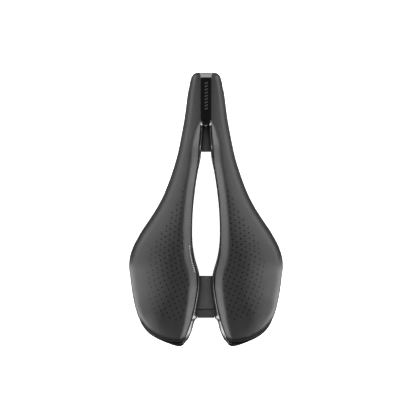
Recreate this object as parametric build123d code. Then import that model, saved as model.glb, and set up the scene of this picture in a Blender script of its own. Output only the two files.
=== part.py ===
from build123d import *
import math
import os

# Split-tail bicycle saddle: two padded halves on one moulded base, carried by two 7 mm rails.
# Frame: +Y towards the nose, +X to the rider's right, +Z up. The origin is the middle of the
# straight clamp zone of the rails, midway between them, at the height of their axes.
# Millimetres.

# ---------------------------------------------------------------- driving dimensions
LENGTH = 257.0
WIDTH = 145.0
NOSE_Y = 130.0
TAIL_Y = NOSE_Y - LENGTH
GLUE = 0.15  # gap left by each bonded joint

RAIL_DIAMETER = 7.0
RAIL_WALL = 1.2
RAIL_SPACING = 44.0
CLAMP_ZONE = 75.0
RAIL_BEND = 26.0
RAIL_NOSE = [(7.8, 108, 19.5), (9.6, 84, 17.9)]  # foremost straight, ahead of the clamp zone
RAIL_TAIL = [(31, -80, 22), (32, -104, 23)]  # rearmost straight
RAIL_FIT = 0.05

COVER_THICKNESS = 1.0
SHELL_THICKNESS = 2.6
SHELL_DEPTH = 12.4  # from the crown down to the top of the base beside the relief channel
BRIDGE_SINK = 1.9  # the two bridges lie this much lower again
BEVEL_DROP = 5.5  # from the crown down to the edge of the relief channel
BEVEL_WIDTH = 6.2
NOSE_ROLL = 6.5
NOSE_CORNER = 7.5

INLAY_HALF_WIDTH = 5.0
INLAY_REAR = 84.5
INLAY_TIP = 79.0
INLAY_WALL = 1.8

OPENING = (-61.2, 55.8)  # rear and front ends of the slot right through the saddle
BRIDGE_REAR = -92.0
HATCH_REAR = -100.7
HATCH_HALF_WIDTH = 9.2
TONGUE = (4.6, 11.4, 4.2)  # half width, length and thickness of the hatch's tongue
TONGUE_FIT = 0.15

HEAD_DIAMETER = 5.6
HEAD_HEIGHT = 2.0
SCREW_DIAMETER = 3.0
SCREW_FIT = 0.1
SCREW_HEX = 2.0

# Half width of the padding, from the nose back: (y, x).
OUTER_EDGE = [
    (NOSE_Y, 14.2), (112, 16.7), (84, 20.6), (56, 26.2), (28, 34.8), (0, 48.1), (-24, 63.9),
    (-38, 70.4), (-50, WIDTH / 2), (-62, 71.8), (-75, 69.9), (-93, 65.8), (-106, 60.6), (-120, 54.5),
]  # fmt: skip
# Half width of the relief channel between the two padded halves: (y, x).
CHANNEL_EDGE = [
    (NOSE_Y, 5.3), (80, 5.3), (70, 5.8), (58, 6.9), (46, 7.7), (36, 9.1), (20, 11.6), (3, 13.2),
    (-20, 13.9), (-37, 13.3), (-48, 11.4), (-55, 9.4), (-61, 8.1), (-68, 7.7), (-79, 9.2),
    (-93, 11.5), (-104.5, 14.6), (-115.7, 18.0), (-134, 24.2),
]  # fmt: skip
# Half width between the inner edges of the base: (y, x).
BASE_EDGE = [
    (NOSE_Y, 4.3), (56, 4.3), (47.8, 5.6), (36.6, 7.7), (25.3, 9.5), (8, 11.7), (-8.6, 12.8),
    (-20, 13.0), (-31, 12.6), (-42, 10.9), (-48, 9.5), (-54, 7.8), (-61, 6.7), (-68, 6.5),
    (-82, 7.9), (-93, 9.5), (-100.5, 9.9), (-104.4, 11.0), (-115.7, 14.7), (-134, 22.0),
]  # fmt: skip
# Heights above the rails along the saddle: (y, z).
CROWN = [(NOSE_Y, 39.6), (112, 40.2), (56, 41.2), (0, 42.4), (-50, 45.0), (-93, 49.0), (-130, 53.0)]
WIDEST = [(NOSE_Y, 29.0), (112, 30.0), (56, 30.0), (0, 29.5), (-50, 31.5), (-93, 37.0), (-130, 43.5)]
SKIRT = [(NOSE_Y, 18.0), (112, 18.0), (56, 18.5), (0, 20.5), (-50, 23.0), (-93, 29.5), (-130, 36.0)]

# Where the section planes stand: (y at the channel, y at the outer edge). The last ones swing
# round towards the slanted ends of the tails.
STATIONS = [
    (150, 150), (132, 132), (114, 114), (96, 96), (80, 80), (66, 66), (52, 52), (38, 38), (22, 22),
    (4, 4), (-14, -14), (-30, -30), (-44, -44), (-56, -56), (-69, -67), (-82, -78), (-94, -88),
    (-106, -97.5), (-118, -107), (-132, -118),
]  # fmt: skip

# Plan of the right tail's end, from inside the notch round to the side: (x, y).
TAIL_EDGE = [
    (9, -111), (15, -117.2), (20.3, -121.0), (24, -122.2), (29, -121.9), (34, -121.0), (40, -119.3),
    (47.5, -115.9), (54, -111.4), (59, -106.4), (62.7, -101), (66.3, -93.5), (71, -82),
]  # fmt: skip
GUARD_EDGE = [
    (18.7, -121.6), (21.2, -125.7), (25, TAIL_Y), (28.5, -126.6), (34, -124.7), (42.3, -121.5),
    (48, -118.7), (52.9, -115.5), (58, -110), (61.1, -104.7),
]  # fmt: skip
GUARD_HEIGHTS = (30.5, 44.5)
GUARD_FALL = 5.5  # the bumper stands this much lower at the side than at the notch

# Mounting pads under the base and what is fastened to them: lowest and highest corners.
NOSE_PAD = ((-13.2, 84, 18.9), (13.2, 109, 25.0))
NOSE_CLIP = ((-13.2, 86, 12.6), (13.2, 107, 18.6))
REAR_PAD = ((21.4, -102, 22.8), (41.8, -82, 33.8))
REAR_CLIP = ((21.4, -101, 16.4), (41.8, -83, 22.5))
RIBS = [  # x, then (y, z) of the rib's lower edge at both ends
    (24.0, ((30, 21.0), (-78, 27.0))),
    (34.0, ((8, 20.5), (-78, 26.0))),
]
NOSE_SCREWS = [(0.0, 91.0), (0.0, 102.0)]
REAR_SCREWS = [(25.2, -92.0), (38.0, -92.0)]
MOUNT_SCREWS = [(-4.6, -74.5), (4.6, -74.5)]
MOUNT_BOTTOM = 22.5
MOUNT_STEP = 26.5  # the mount is this high where the bridge is thickened for its screws


# ---------------------------------------------------------------- curves and sections
def along(points, y):
    """Value of a smooth, wiggle-free curve through (y, value) points listed from the nose back."""
    ys = [p[0] for p in points]
    vs = [p[1] for p in points]
    y = max(min(y, ys[0]), ys[-1])
    steps = [b - a for a, b in zip(ys, ys[1:])]
    slopes = [(b - a) / h for a, b, h in zip(vs, vs[1:], steps)]
    tangents = [slopes[0]]
    for before, after in zip(slopes, slopes[1:]):
        tangents.append(0.0 if before * after <= 0 else 2 * before * after / (before + after))
    tangents.append(slopes[-1])
    i = next(i for i in range(len(steps)) if y >= ys[i + 1])
    h = steps[i]
    t = (y - ys[i]) / h
    return (
        (1 + 2 * t) * (1 - t) ** 2 * vs[i]
        + t * (1 - t) ** 2 * h * tangents[i]
        + t * t * (3 - 2 * t) * vs[i + 1]
        + t * t * (t - 1) * h * tangents[i + 1]
    )


def bevel_drop(y):
    """How far the channel's edge lies below the crown: none along the nose inlay."""
    share = max(0.0, min(1.0, (86 - y) / 28))
    return BEVEL_DROP * share * share * (3 - 2 * share)


class Station:
    """One vertical section plane, from the channel edge to the outer edge of the right half."""

    def __init__(self, y_inner, y_outer, channel):
        self.y = (y_inner + y_outer) / 2
        self.inner = Vector(along(channel, y_inner), y_inner, 0)
        self.outer = Vector(along(OUTER_EDGE, y_outer), y_outer, 0)
        self.width = (self.outer - self.inner).length
        self.crown = along(CROWN, self.y)
        self.bevel = self.crown - bevel_drop(self.y)
        self.widest = along(WIDEST, self.y)
        self.skirt = along(SKIRT, self.y)

    def at(self, across, z):
        """Point at a distance from the channel edge, at a height."""
        p = self.inner + (self.outer - self.inner) * (across / self.width)
        return Vector(p.X, p.Y, z)


def stations(channel=CHANNEL_EDGE):
    return [Station(a, b, channel) for a, b in STATIONS]


def loft(wires):
    """A smooth solid through section wires, turned so that its inside is inside."""
    solid = Solid.make_loft(wires)
    return solid if solid.volume > 0 else Solid(solid.wrapped.Reversed())


def closed_wire(top, rest):
    """A wire from a smooth run of points and the straight runs that close it."""
    corners = [top[-1], *rest, top[0]]
    edges = [Edge.make_line(a, b) for a, b in zip(corners, corners[1:])]
    return Wire([Edge.make_spline(top), *edges])


def mirrored(shape):
    return shape.mirror(Plane.YZ)


def box_between(low, high):
    """A box from its lowest to its highest corner."""
    size = [b - a for a, b in zip(low, high)]
    centre = [(a + b) / 2 for a, b in zip(low, high)]
    return Pos(*centre) * Box(*size)


def post(x, y, low, high, diameter):
    """An upright cylinder between two heights."""
    return Pos(x, y, (low + high) / 2) * Cylinder(diameter / 2, high - low)


def yz_prism(points, half_width):
    """A polygon drawn in the YZ plane, as thick as twice the half width."""
    return extrude(make_face(Plane.YZ * Polyline(*points, close=True)), half_width, both=True)


def shifted(points, distance):
    """The same run of points moved sideways, to the right of its direction of travel."""
    moved = []
    for i, (x, y) in enumerate(points):
        ax, ay = points[max(i - 1, 0)]
        bx, by = points[min(i + 1, len(points) - 1)]
        span = math.hypot(bx - ax, by - ay)
        moved.append((x + (by - ay) / span * distance, y - (bx - ax) / span * distance))
    return moved


def behind_tail(inset):
    """Everything behind the right tail's end moved forwards by a distance."""
    edge = shifted(TAIL_EDGE, -inset)
    first = edge[0]
    last = edge[-1]
    corners = [last, (90, last[1]), (90, -150), (first[0], -150), first]
    outline = Wire([Edge.make_spline([Vector(x, y, -30) for x, y in edge])]
                   + [Edge.make_line(Vector(*a, -30), Vector(*b, -30))
                      for a, b in zip(corners, corners[1:])])  # fmt: skip
    return Solid.extrude(Face(outline), Vector(0, 0, 120))


def round_nose(block, inset):
    """Roll the front of the right half over and round its corner, inside by a distance."""
    front = NOSE_Y - inset
    roll = NOSE_ROLL - inset
    top = along(CROWN, front - roll) - inset
    rolled = box_between((-10, front - roll, top - roll), (40, NOSE_Y + 30, top + 9))
    rolled -= Pos(15, front - roll, top - roll) * Rot(0, 90, 0) * Cylinder(roll, 60)
    corner = NOSE_CORNER - inset
    side = along(OUTER_EDGE, front - corner) - inset
    turned = box_between((side - corner, front - corner, -30), (side + 9, NOSE_Y + 30, 70))
    turned -= post(side - corner, front - corner, -40, 80, 2 * corner)
    ahead = box_between((-10, front, -30), (40, NOSE_Y + 30, 70))
    return block - ahead - rolled - turned


# ---------------------------------------------------------------- padding
def padding_top(s, inset):
    """Points across the top of the padding, the same distance inside the outer surface."""
    roll = min(0.42 * s.width, 15.0)
    bevel = min(BEVEL_WIDTH, 0.3 * s.width)
    drop = s.crown - s.widest
    return [
        s.at(inset, s.bevel - inset),
        s.at(bevel * 0.55 + inset * 0.6, s.bevel + (s.crown - s.bevel) * 0.6 - inset),
        s.at(bevel + inset * 0.3, s.crown - 0.5 - inset),
        s.at((bevel + s.width - roll) / 2, s.crown - 0.02 * drop - inset),
        s.at(s.width - roll, s.crown - 0.12 * drop - inset),
        s.at(s.width - 0.45 * roll - 0.5 * inset, s.crown - 0.38 * drop - inset),
        s.at(s.width - 0.1 * roll - 0.85 * inset, s.crown - 0.72 * drop - inset * 0.6),
        s.at(s.width - inset, s.widest),
    ]


def padding_block(inset, deeper):
    """The right half of the padding as one block, its two feet lowered by a distance."""
    wires = []
    for s in stations():
        foot_outer = s.at(s.width - 1.6 - inset, s.skirt - deeper)
        foot_inner = s.at(inset, s.crown - SHELL_DEPTH + GLUE - deeper)
        wires.append(closed_wire(padding_top(s, inset), [foot_outer, foot_inner]))
    return round_nose(loft(wires), inset) - behind_tail(inset)


def base_top(s, lift=0.0):
    """Points across the top of the base."""
    outer = s.skirt + 1.2
    inner = s.crown - SHELL_DEPTH
    reach = s.width - 3.2
    fall = inner - outer
    return [
        s.at(0, inner + lift),
        s.at(0.3 * reach, inner - 0.06 * fall + lift),
        s.at(0.62 * reach, inner - 0.27 * fall + lift),
        s.at(0.88 * reach, inner - 0.65 * fall + lift),
        s.at(reach, outer + lift),
    ]


def under_base(lift, spread=0.0):
    """Everything below the top of the right half of the base raised by a distance."""
    wires = []
    for s in stations(BASE_EDGE):
        top = base_top(s, lift)
        if spread:
            top = [s.at(-spread, top[0].Z), *top[1:-1], s.at(s.width - 3.2 + spread, top[-1].Z - spread)]
        wires.append(closed_wire(top, [Vector(p.X, p.Y, -10 - spread) for p in (top[-1], top[0])]))
    return loft(wires)


def make_cover():
    """Skin of the right half: the padding's outside less everything one skin inside it."""
    skin = padding_block(0, 0) - padding_block(COVER_THICKNESS, 12.0)
    seat = under_base(2 * GLUE) - box_between((-10, NOSE_Y - COVER_THICKNESS, -30), (40, 170, 80))
    return skin - seat


def gel_space(grow):
    """Room for the gel insert under the sit bone, open downwards, grown by a distance."""
    front, rear = 28, -98
    plan = [(18, 18), (19, -4), (20.5, -30), (20.5, -60), (24, -84), (38, rear), (52, -84), (56, -60),
            (53, -32), (43, -6), (30, 16), (22, front)]  # fmt: skip
    middle = (37.0, -40.0)
    wide = []
    for x, y in plan:
        away = 1 + 1.6 * grow / math.hypot(x - middle[0], y - middle[1])
        wide.append((middle[0] + (x - middle[0]) * away, middle[1] + (y - middle[1]) * away))
    outline = Wire([Edge.make_spline([Vector(x, y, 0) for x, y in wide], periodic=True)])
    column = Solid.extrude(Face(outline), Vector(0, 0, 80))
    slope = [(60, 0), (60, 32.0 + grow), (-130, 44.6 + grow), (-130, 0)]
    return column & yz_prism(slope, 70)


def foam_block():
    """The space between the skin and the base."""
    inset = COVER_THICKNESS + GLUE
    wires = []
    for s in stations():
        top = padding_top(s, inset)
        floor = base_top(s, GLUE)
        floor[0] = s.at(inset, floor[0].Z)
        edges = [
            Edge.make_spline(top),
            Edge.make_line(top[-1], floor[-1]),
            Edge.make_spline(floor[::-1]),
            Edge.make_line(floor[0], top[0]),
        ]
        wires.append(Wire(edges))
    return round_nose(loft(wires), inset) - behind_tail(inset)


def make_padding():
    """Foam of the right half with its pocket, and the gel insert that fills the pocket."""
    block = foam_block()
    return block - gel_space(GLUE), block & gel_space(0)


def make_inlay():
    """Glossy strip between the two halves of the nose: a hollow cap that stands on the base."""
    ys = [INLAY_TIP + (NOSE_Y - NOSE_ROLL - INLAY_TIP) * i / 5 for i in range(6)]
    foot = -SHELL_DEPTH + GLUE + 0.05
    block = yz_prism(
        [(y, along(CROWN, y)) for y in ys]
        + [(NOSE_Y, along(CROWN, ys[-1])), (NOSE_Y, along(CROWN, NOSE_Y) + foot)]
        + [(y, along(CROWN, y) + foot) for y in ys[::-1]],
        INLAY_HALF_WIDTH,
    )
    crown = along(CROWN, NOSE_Y - NOSE_ROLL)
    rolled = box_between((-9, NOSE_Y - NOSE_ROLL, crown - NOSE_ROLL), (9, NOSE_Y + 5, crown + 5))
    rolled -= Pos(0, NOSE_Y - NOSE_ROLL, crown - NOSE_ROLL) * Rot(0, 90, 0) * Cylinder(NOSE_ROLL, 30)
    block -= rolled
    for side in (1, -1):
        corner = [(side * 6, INLAY_REAR, 0), (side * 6, INLAY_TIP - 1, 0), (0, INLAY_TIP - 0.5, 0),
                  (side * 5, INLAY_REAR, 0)]  # fmt: skip
        block -= extrude(make_face(Polyline(*corner, close=True)), 60)
    inside = INLAY_HALF_WIDTH - INLAY_WALL
    for low, high in ((89, 104.5), (106.5, 122)):
        block -= box_between((-inside, low, 20), (inside, high, along(CROWN, 112) - 3.4))
    for y in (87, 105.5, 124):
        block += post(0, y, along(CROWN, y) - SHELL_DEPTH - BRIDGE_SINK + GLUE, 30, 2.6)
    return block


def make_guard():
    """Glossy bumper wrapped round the end of the right tail, grooved for the edge of the base."""
    low, high = GUARD_HEIGHTS
    edge = [Vector(x, y, low) for x, y in GUARD_EDGE]
    corners = [edge[-1], Vector(52, -100, low), Vector(26, -110, low), edge[0]]
    outline = Wire([Edge.make_spline(edge)]
                   + [Edge.make_line(a, b) for a, b in zip(corners, corners[1:])])  # fmt: skip
    block = Solid.extrude(Face(outline), Vector(0, 0, high - low))
    side = [(15, high + 1), (15, high), (64, high - GUARD_FALL), (64, high + 1)]
    block -= extrude(make_face(Plane.XZ * Polyline(*side, close=True)), 140)
    foot = [(15, low - 1), (15, low + 0.6 * GUARD_FALL), (64, low), (64, low - 1)]
    block -= extrude(make_face(Plane.XZ * Polyline(*foot, close=True)), 140)
    rounded = [e for e in block.edges() if e.length > 40 and e.center().Y < -114]
    block = fillet(rounded, 1.6) & behind_tail(-GLUE)
    grow = 2 * GLUE
    groove = []
    for s in stations(BASE_EDGE):
        top = base_top(s, grow)
        low_line = [p - Vector(0, 0, SHELL_THICKNESS + 2 * grow) for p in top]
        top[-1] = s.at(s.width - 3.2 + grow, top[-1].Z)
        low_line[-1] = s.at(s.width - 3.2 + grow, low_line[-1].Z - 2.2)
        edges = [
            Edge.make_spline(top),
            Edge.make_line(top[-1], low_line[-1]),
            Edge.make_spline(low_line[::-1]),
            Edge.make_line(low_line[0], top[0]),
        ]
        groove.append(Wire(edges))
    return block - (loft(groove) - behind_tail(-1.6 - grow))


# ---------------------------------------------------------------- base
def bridge_points(y_from, y_to, count=5):
    """Side outline of a bridge that follows the crown at a depth."""
    ys = [y_from + (y_to - y_from) * i / (count - 1) for i in range(count)]
    top = [(y, along(CROWN, y) - SHELL_DEPTH - BRIDGE_SINK) for y in ys]
    return top + [(y, z - SHELL_THICKNESS) for y, z in reversed(top)]


def make_base_half():
    """Right half of the base: a skin hollowed from below round its mounting pads and ribs."""
    hollow = under_base(-SHELL_THICKNESS, 2.0)
    low, high = REAR_PAD
    hollow -= box_between(low, (high[0], high[1], 50))
    low, high = NOSE_PAD
    hollow -= box_between((-5, low[1], low[2]), (high[0], high[1], 50))
    for x, slope in RIBS:
        hollow -= Pos(x, 0, 0) * yz_prism([*slope, (slope[1][0], 50), (slope[0][0], 50)], 0.8)
    half = under_base(0) - hollow
    return round_nose(half, COVER_THICKNESS + GLUE) - behind_tail(-1.6)


def make_base(rails):
    """Moulded base: two halves, the bridges between them and the holes for what is screwed on."""
    right = make_base_half()
    base = right + mirrored(right)
    base += yz_prism(bridge_points(124, OPENING[1]), 5.2)
    base += yz_prism(bridge_points(OPENING[0], BRIDGE_REAR), 8.0)
    low, high = NOSE_PAD
    base += box_between((-4.8, low[1], low[2]), (4.8, high[1], high[2]))
    base += box_between((-7.0, -79, MOUNT_STEP + GLUE), (7.0, -69.5, 31.0))
    mirror_spots = [(-x, y) for x, y in REAR_SCREWS]
    for x, y in NOSE_SCREWS:
        base -= post(x, y, 17, 24.4, SCREW_DIAMETER + 2 * SCREW_FIT)
    for x, y in REAR_SCREWS + mirror_spots + MOUNT_SCREWS:
        base -= post(x, y, 20, 30.4, SCREW_DIAMETER + 2 * SCREW_FIT)
    for rail in rails:
        base -= rail
    return base


# ---------------------------------------------------------------- rails and their clips
def bend(before, corner, after, radius):
    """Where a bend of a radius starts, passes and ends at a corner of a path."""
    back = (before - corner).normalized()
    ahead = (after - corner).normalized()
    half = math.acos(max(-1.0, min(1.0, back.dot(ahead)))) / 2
    reach = radius / math.tan(half)
    middle = (back + ahead).normalized()
    centre = corner + middle * (radius / math.sin(half))
    return corner + back * reach, centre - middle * radius, corner + ahead * reach


def clamp_corner(target, side):
    """Corner of the path next to the clamp zone, so that its straight part keeps its length."""
    corner = Vector(RAIL_SPACING / 2, side * (CLAMP_ZONE / 2 + 6), 0)
    middle = Vector(RAIL_SPACING / 2, 0, 0)
    for _ in range(12):
        start = bend(middle, corner, target, RAIL_BEND)[0]
        corner = corner + Vector(0, side * CLAMP_ZONE / 2 - start.Y, 0)
    return corner


def rail_path():
    nose = [Vector(*p) for p in RAIL_NOSE]
    tail = [Vector(*p) for p in RAIL_TAIL]
    points = [nose[0], nose[1], clamp_corner(nose[1], 1), clamp_corner(tail[0], -1), *tail]
    edges = []
    start = points[0]
    for before, corner, after in zip(points, points[1:], points[2:]):
        first, through, last = bend(before, corner, after, RAIL_BEND)
        edges.append(Edge.make_line(start, first))
        edges.append(Edge.make_three_point_arc(first, through, last))
        start = last
    edges.append(Edge.make_line(start, points[-1]))
    return Wire(edges)


def swept(path, radius):
    """A round bar along a path."""
    return sweep(Plane(origin=path @ 0, z_dir=path % 0) * Circle(radius), path=path)


def make_rail(path):
    """Tubular rail."""
    return swept(path, RAIL_DIAMETER / 2) - swept(path, RAIL_DIAMETER / 2 - RAIL_WALL)


def socket_screw(x, y, head_bottom, top):
    """Countersunk-flush socket screw standing head down."""
    head = post(x, y, head_bottom, head_bottom + HEAD_HEIGHT, HEAD_DIAMETER)
    shank = post(x, y, head_bottom + HEAD_HEIGHT, top, SCREW_DIAMETER)
    hexagon = RegularPolygon(SCREW_HEX / math.sqrt(3), 6)
    socket = Pos(x, y, head_bottom) * extrude(hexagon, 1.2)
    return chamfer(head.edges().group_by(Axis.Z)[0], 0.4) + shank - socket


def screw_set(spots, head_bottom, top):
    return Compound([socket_screw(x, y, head_bottom, top) for x, y in spots])


def make_clip(corners, spots, rails):
    """Saddle-shaped clip that holds rails against the base from below."""
    low, high = corners
    clip = box_between(low, high)
    clip = fillet(clip.edges().filter_by(Axis.Z), 3.0)
    clip = chamfer(clip.edges().group_by(Axis.Z)[0], 1.0)
    for x, y in spots:
        clip -= post(x, y, low[2] - 1, high[2] + 1, SCREW_DIAMETER + 2 * SCREW_FIT)
        clip -= post(x, y, low[2] - 1, low[2] + HEAD_HEIGHT + 0.3, HEAD_DIAMETER + 0.4)
    for rail in rails:
        clip -= rail
    return clip


# ---------------------------------------------------------------- accessory mount
def under_bridge(y):
    return along(CROWN, y) - SHELL_DEPTH - BRIDGE_SINK - SHELL_THICKNESS - GLUE


def tongue_block(grow, y_front):
    """The tongue's space, grown all round by a distance."""
    half, length, thick = TONGUE
    middle = (MOUNT_BOTTOM + under_bridge(-92)) / 2
    return box_between(
        (-half - grow, BRIDGE_REAR - 1.5, middle - thick / 2 - grow),
        (half + grow, y_front, middle + thick / 2 + grow),
    )


def make_mount():
    """Receiver under the rear bridge, with a socket that opens to the rear."""
    rear = BRIDGE_REAR + 0.4
    outline = [
        (-70.0, MOUNT_STEP), (-79.0 - GLUE, MOUNT_STEP), (-79.0 - GLUE, under_bridge(-79)),
        (rear, under_bridge(rear)), (rear, MOUNT_BOTTOM), (-70.0, MOUNT_BOTTOM),
    ]  # fmt: skip
    mount = yz_prism(outline, 8.0)
    mount = fillet(mount.edges().group_by(Axis.Z)[0].filter_by(Axis.Y), 1.5)
    mount -= tongue_block(TONGUE_FIT, BRIDGE_REAR + TONGUE[1] + 0.4)
    for x, y in MOUNT_SCREWS:
        mount -= post(x, y, 20, 28, SCREW_DIAMETER + 2 * SCREW_FIT)
        mount -= post(x, y, 20, MOUNT_BOTTOM + 1.6, HEAD_DIAMETER + 0.4)
    return mount


def make_hatch():
    """Removable cover of the accessory mount: a tapered cap on a tongue."""
    front = BRIDGE_REAR - 0.2
    half = HATCH_HALF_WIDTH
    plan = [(-half, front), (half, front), (half, front - 3.0), (half - 2.2, HATCH_REAR),
            (-half + 2.2, HATCH_REAR), (-half, front - 3.0)]  # fmt: skip
    cap = extrude(make_face(Polyline(*plan, close=True)), 60)
    top = [(y, along(CROWN, y) - SHELL_DEPTH - BRIDGE_SINK - 1.0) for y in (-91, -96, -102)]
    cap = cap & yz_prism([*top, (-102, 21.5), (-91, 21.5)], 12)
    cap = fillet(cap.edges().group_by(Axis.Z)[-1], 0.8)
    return cap + tongue_block(0, BRIDGE_REAR + TONGUE[1])


# ---------------------------------------------------------------- assembly
def make_parts():
    path = rail_path()
    rail = make_rail(path)
    clearance = swept(path, RAIL_DIAMETER / 2 + RAIL_FIT)
    both = [clearance, mirrored(clearance)]
    cover = make_cover()
    foam, gel = make_padding()
    guard = make_guard()
    rear_clip = make_clip(REAR_CLIP, REAR_SCREWS, [clearance])
    rear_screws = screw_set(REAR_SCREWS, REAR_CLIP[0][2] + 0.3, 29.8)
    return {
        "base_shell": make_base(both),
        "foam_right": foam,
        "foam_left": mirrored(foam),
        "gel_insert_right": gel,
        "gel_insert_left": mirrored(gel),
        "cover_right": cover,
        "cover_left": mirrored(cover),
        "nose_strip": make_inlay(),
        "tail_guard_right": guard,
        "tail_guard_left": mirrored(guard),
        "rail_right": rail,
        "rail_left": mirrored(rail),
        "nose_rail_clip": make_clip(NOSE_CLIP, NOSE_SCREWS, both),
        "nose_clip_screws": screw_set(NOSE_SCREWS, NOSE_CLIP[0][2] + 0.3, 23.9),
        "rear_rail_clip_right": rear_clip,
        "rear_rail_clip_left": mirrored(rear_clip),
        "rear_clip_screws_right": rear_screws,
        "rear_clip_screws_left": mirrored(rear_screws),
        "accessory_mount": make_mount(),
        "accessory_mount_screws": screw_set(MOUNT_SCREWS, MOUNT_BOTTOM - 0.4, 29.8),
        "accessory_mount_cover": make_hatch(),
    }


def main():
    os.makedirs("parts", exist_ok=True)
    for name, shape in make_parts().items():
        export_step(shape, f"parts/{name}.step")


if __name__ == "__main__":
    main()
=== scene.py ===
"""Bicycle saddle with two padded halves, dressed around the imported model."""

import logging
import math
from dataclasses import dataclass, field
from enum import Enum
from typing import Any, Sequence

import bmesh
import bpy
import numpy as np
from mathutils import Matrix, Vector


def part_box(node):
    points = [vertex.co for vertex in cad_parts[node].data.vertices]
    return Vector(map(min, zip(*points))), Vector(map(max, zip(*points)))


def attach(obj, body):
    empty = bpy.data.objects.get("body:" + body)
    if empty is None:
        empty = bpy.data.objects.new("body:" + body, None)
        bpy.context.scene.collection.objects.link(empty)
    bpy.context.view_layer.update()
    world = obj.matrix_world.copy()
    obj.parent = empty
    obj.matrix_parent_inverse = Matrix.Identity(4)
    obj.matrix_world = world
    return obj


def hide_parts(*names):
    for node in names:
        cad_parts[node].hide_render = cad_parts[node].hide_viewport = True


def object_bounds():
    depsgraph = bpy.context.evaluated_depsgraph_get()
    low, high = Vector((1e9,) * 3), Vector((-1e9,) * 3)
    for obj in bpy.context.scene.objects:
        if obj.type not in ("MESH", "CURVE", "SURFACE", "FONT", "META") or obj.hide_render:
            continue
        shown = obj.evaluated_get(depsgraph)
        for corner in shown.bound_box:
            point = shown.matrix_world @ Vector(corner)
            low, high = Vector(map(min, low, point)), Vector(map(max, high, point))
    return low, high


log = logging.getLogger("saddle")
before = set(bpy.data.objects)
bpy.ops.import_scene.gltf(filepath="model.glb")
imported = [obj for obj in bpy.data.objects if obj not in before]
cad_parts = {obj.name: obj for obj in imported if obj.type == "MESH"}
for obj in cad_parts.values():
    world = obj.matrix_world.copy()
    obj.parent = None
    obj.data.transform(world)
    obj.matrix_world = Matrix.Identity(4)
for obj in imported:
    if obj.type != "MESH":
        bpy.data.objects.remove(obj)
CAD_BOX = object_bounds()

MM = 0.001
SADDLE = "saddle"
Table = Sequence[tuple[float, float]]

# Half widths and heights along the saddle in millimetres: (y, value), from the nose back.
CHANNEL_EDGE: Table = (
    (130, 5.2), (80, 5.2), (70, 5.7), (60, 6.7), (46, 7.5), (36, 9.1), (20, 11.6), (3, 13.2),
    (-20, 14.0), (-37, 13.5), (-48, 11.6), (-54, 9.8), (-61, 8.4), (-70, 8.1), (-79, 9.2),
    (-87.3, 10.5), (-95, 12.4), (-99.5, 13.5), (-104.5, 14.8), (-111, 17.1), (-117.8, 19.7),
    (-120.8, 21.2),
)  # fmt: skip
RIM_EDGE: Table = (
    (86, 4.9), (84, 4.4), (82, 3.1), (80.5, 2.6), (78, 2.7), (74, 3.1), (68, 3.6), (62, 4.0), (56, 4.3),
    (47.8, 5.6), (36.6, 7.7), (25.3, 9.5), (8, 11.7), (-8.6, 12.8), (-20, 13.0), (-31, 12.6), (-42, 10.9),
    (-48, 9.5), (-54, 7.6), (-61, 6.1), (-68, 5.9), (-79.6, 6.9), (-87, 8.1), (-92, 8.9), (-95, 9.0),
    (-98, 8.5), (-100, 8.2), (-100.9, 8.6), (-101.7, 9.6), (-103, 10.5), (-107, 11.9), (-114.5, 14.5),
    (-120, 17.1), (-124, 19.8), (-126, 21.8),
)  # fmt: skip
CROWN: Table = ((130, 39.6), (112, 40.2), (56, 41.2), (0, 42.4), (-50, 45.2), (-93, 49.2), (-130, 53.0))
SKIRT: Table = ((130, 18.0), (112, 18.0), (56, 18.5), (0, 20.5), (-50, 23.0), (-93, 29.5), (-130, 36.0))
BEVEL_WIDTH: Table = (
    (130, 0), (87, 0), (74, 3.6), (60, 6.0), (-70, 6.4), (-95, 5.2), (-108, 3.9), (-121, 2.8),
)  # fmt: skip

# Silhouette of the right half seen from above, from the middle of the nose round to the notch.
SILHOUETTE: Sequence[tuple[float, float]] = (
    (5.2, 130.0), (7.0, 130.0), (9.0, 129.9), (11.0, 129.2), (12.7, 127.6), (13.9, 125.4), (15.1, 121.0),
    (16.1, 115.5), (17.3, 110), (19.5, 93), (21.2, 82), (23.4, 70.4), (25.6, 59.1), (28.4, 47.8),
    (31.9, 36.6), (35.9, 25.3), (40.6, 14.0), (46.6, 2.7), (53.9, -8.6), (61.4, -19.8), (67.6, -31.0),
    (70.0, -36.8), (71.7, -42.4), (72.6, -48.5), (72.6, -54), (71.7, -60.5), (70.4, -70.6), (68.5, -81.9),
    (65.9, -92.4), (62.9, -100.4), (58.8, -106.6), (54.0, -111.8), (47.5, -116.3), (40.0, -119.6),
    (34.0, -121.2), (29.0, -121.9), (25.2, -122.0), (22.8, -121.7), (21.2, -120.8),
)  # fmt: skip
# Which point of the channel's edge (its y) faces which point of the silhouette (its y, or both).
PAIRS: Sequence[tuple[float, tuple[float, float]]] = (
    (130, (5.2, 130.0)), (128.6, (9.0, 129.9)), (126.4, (12.7, 127.6)), (122.5, (15.1, 121.0)),
    (112, (17.0, 110)), (93, (19.2, 93)), (59.1, (25.3, 59.1)), (14, (40.3, 14)), (-31, (67.3, -31)),
    (-60.5, (71.4, -60.5)), (-84, (68.2, -81.9)), (-98, (65.6, -92.4)), (-106, (62.6, -100.4)),
    (-110.5, (58.8, -106.6)), (-113.5, (54.0, -111.8)), (-116.2, (47.5, -116.3)), (-118.4, (40, -119.6)),
    (-120, (29, -121.9)), (-120.8, (21.2, -120.8)),
)  # fmt: skip
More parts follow.
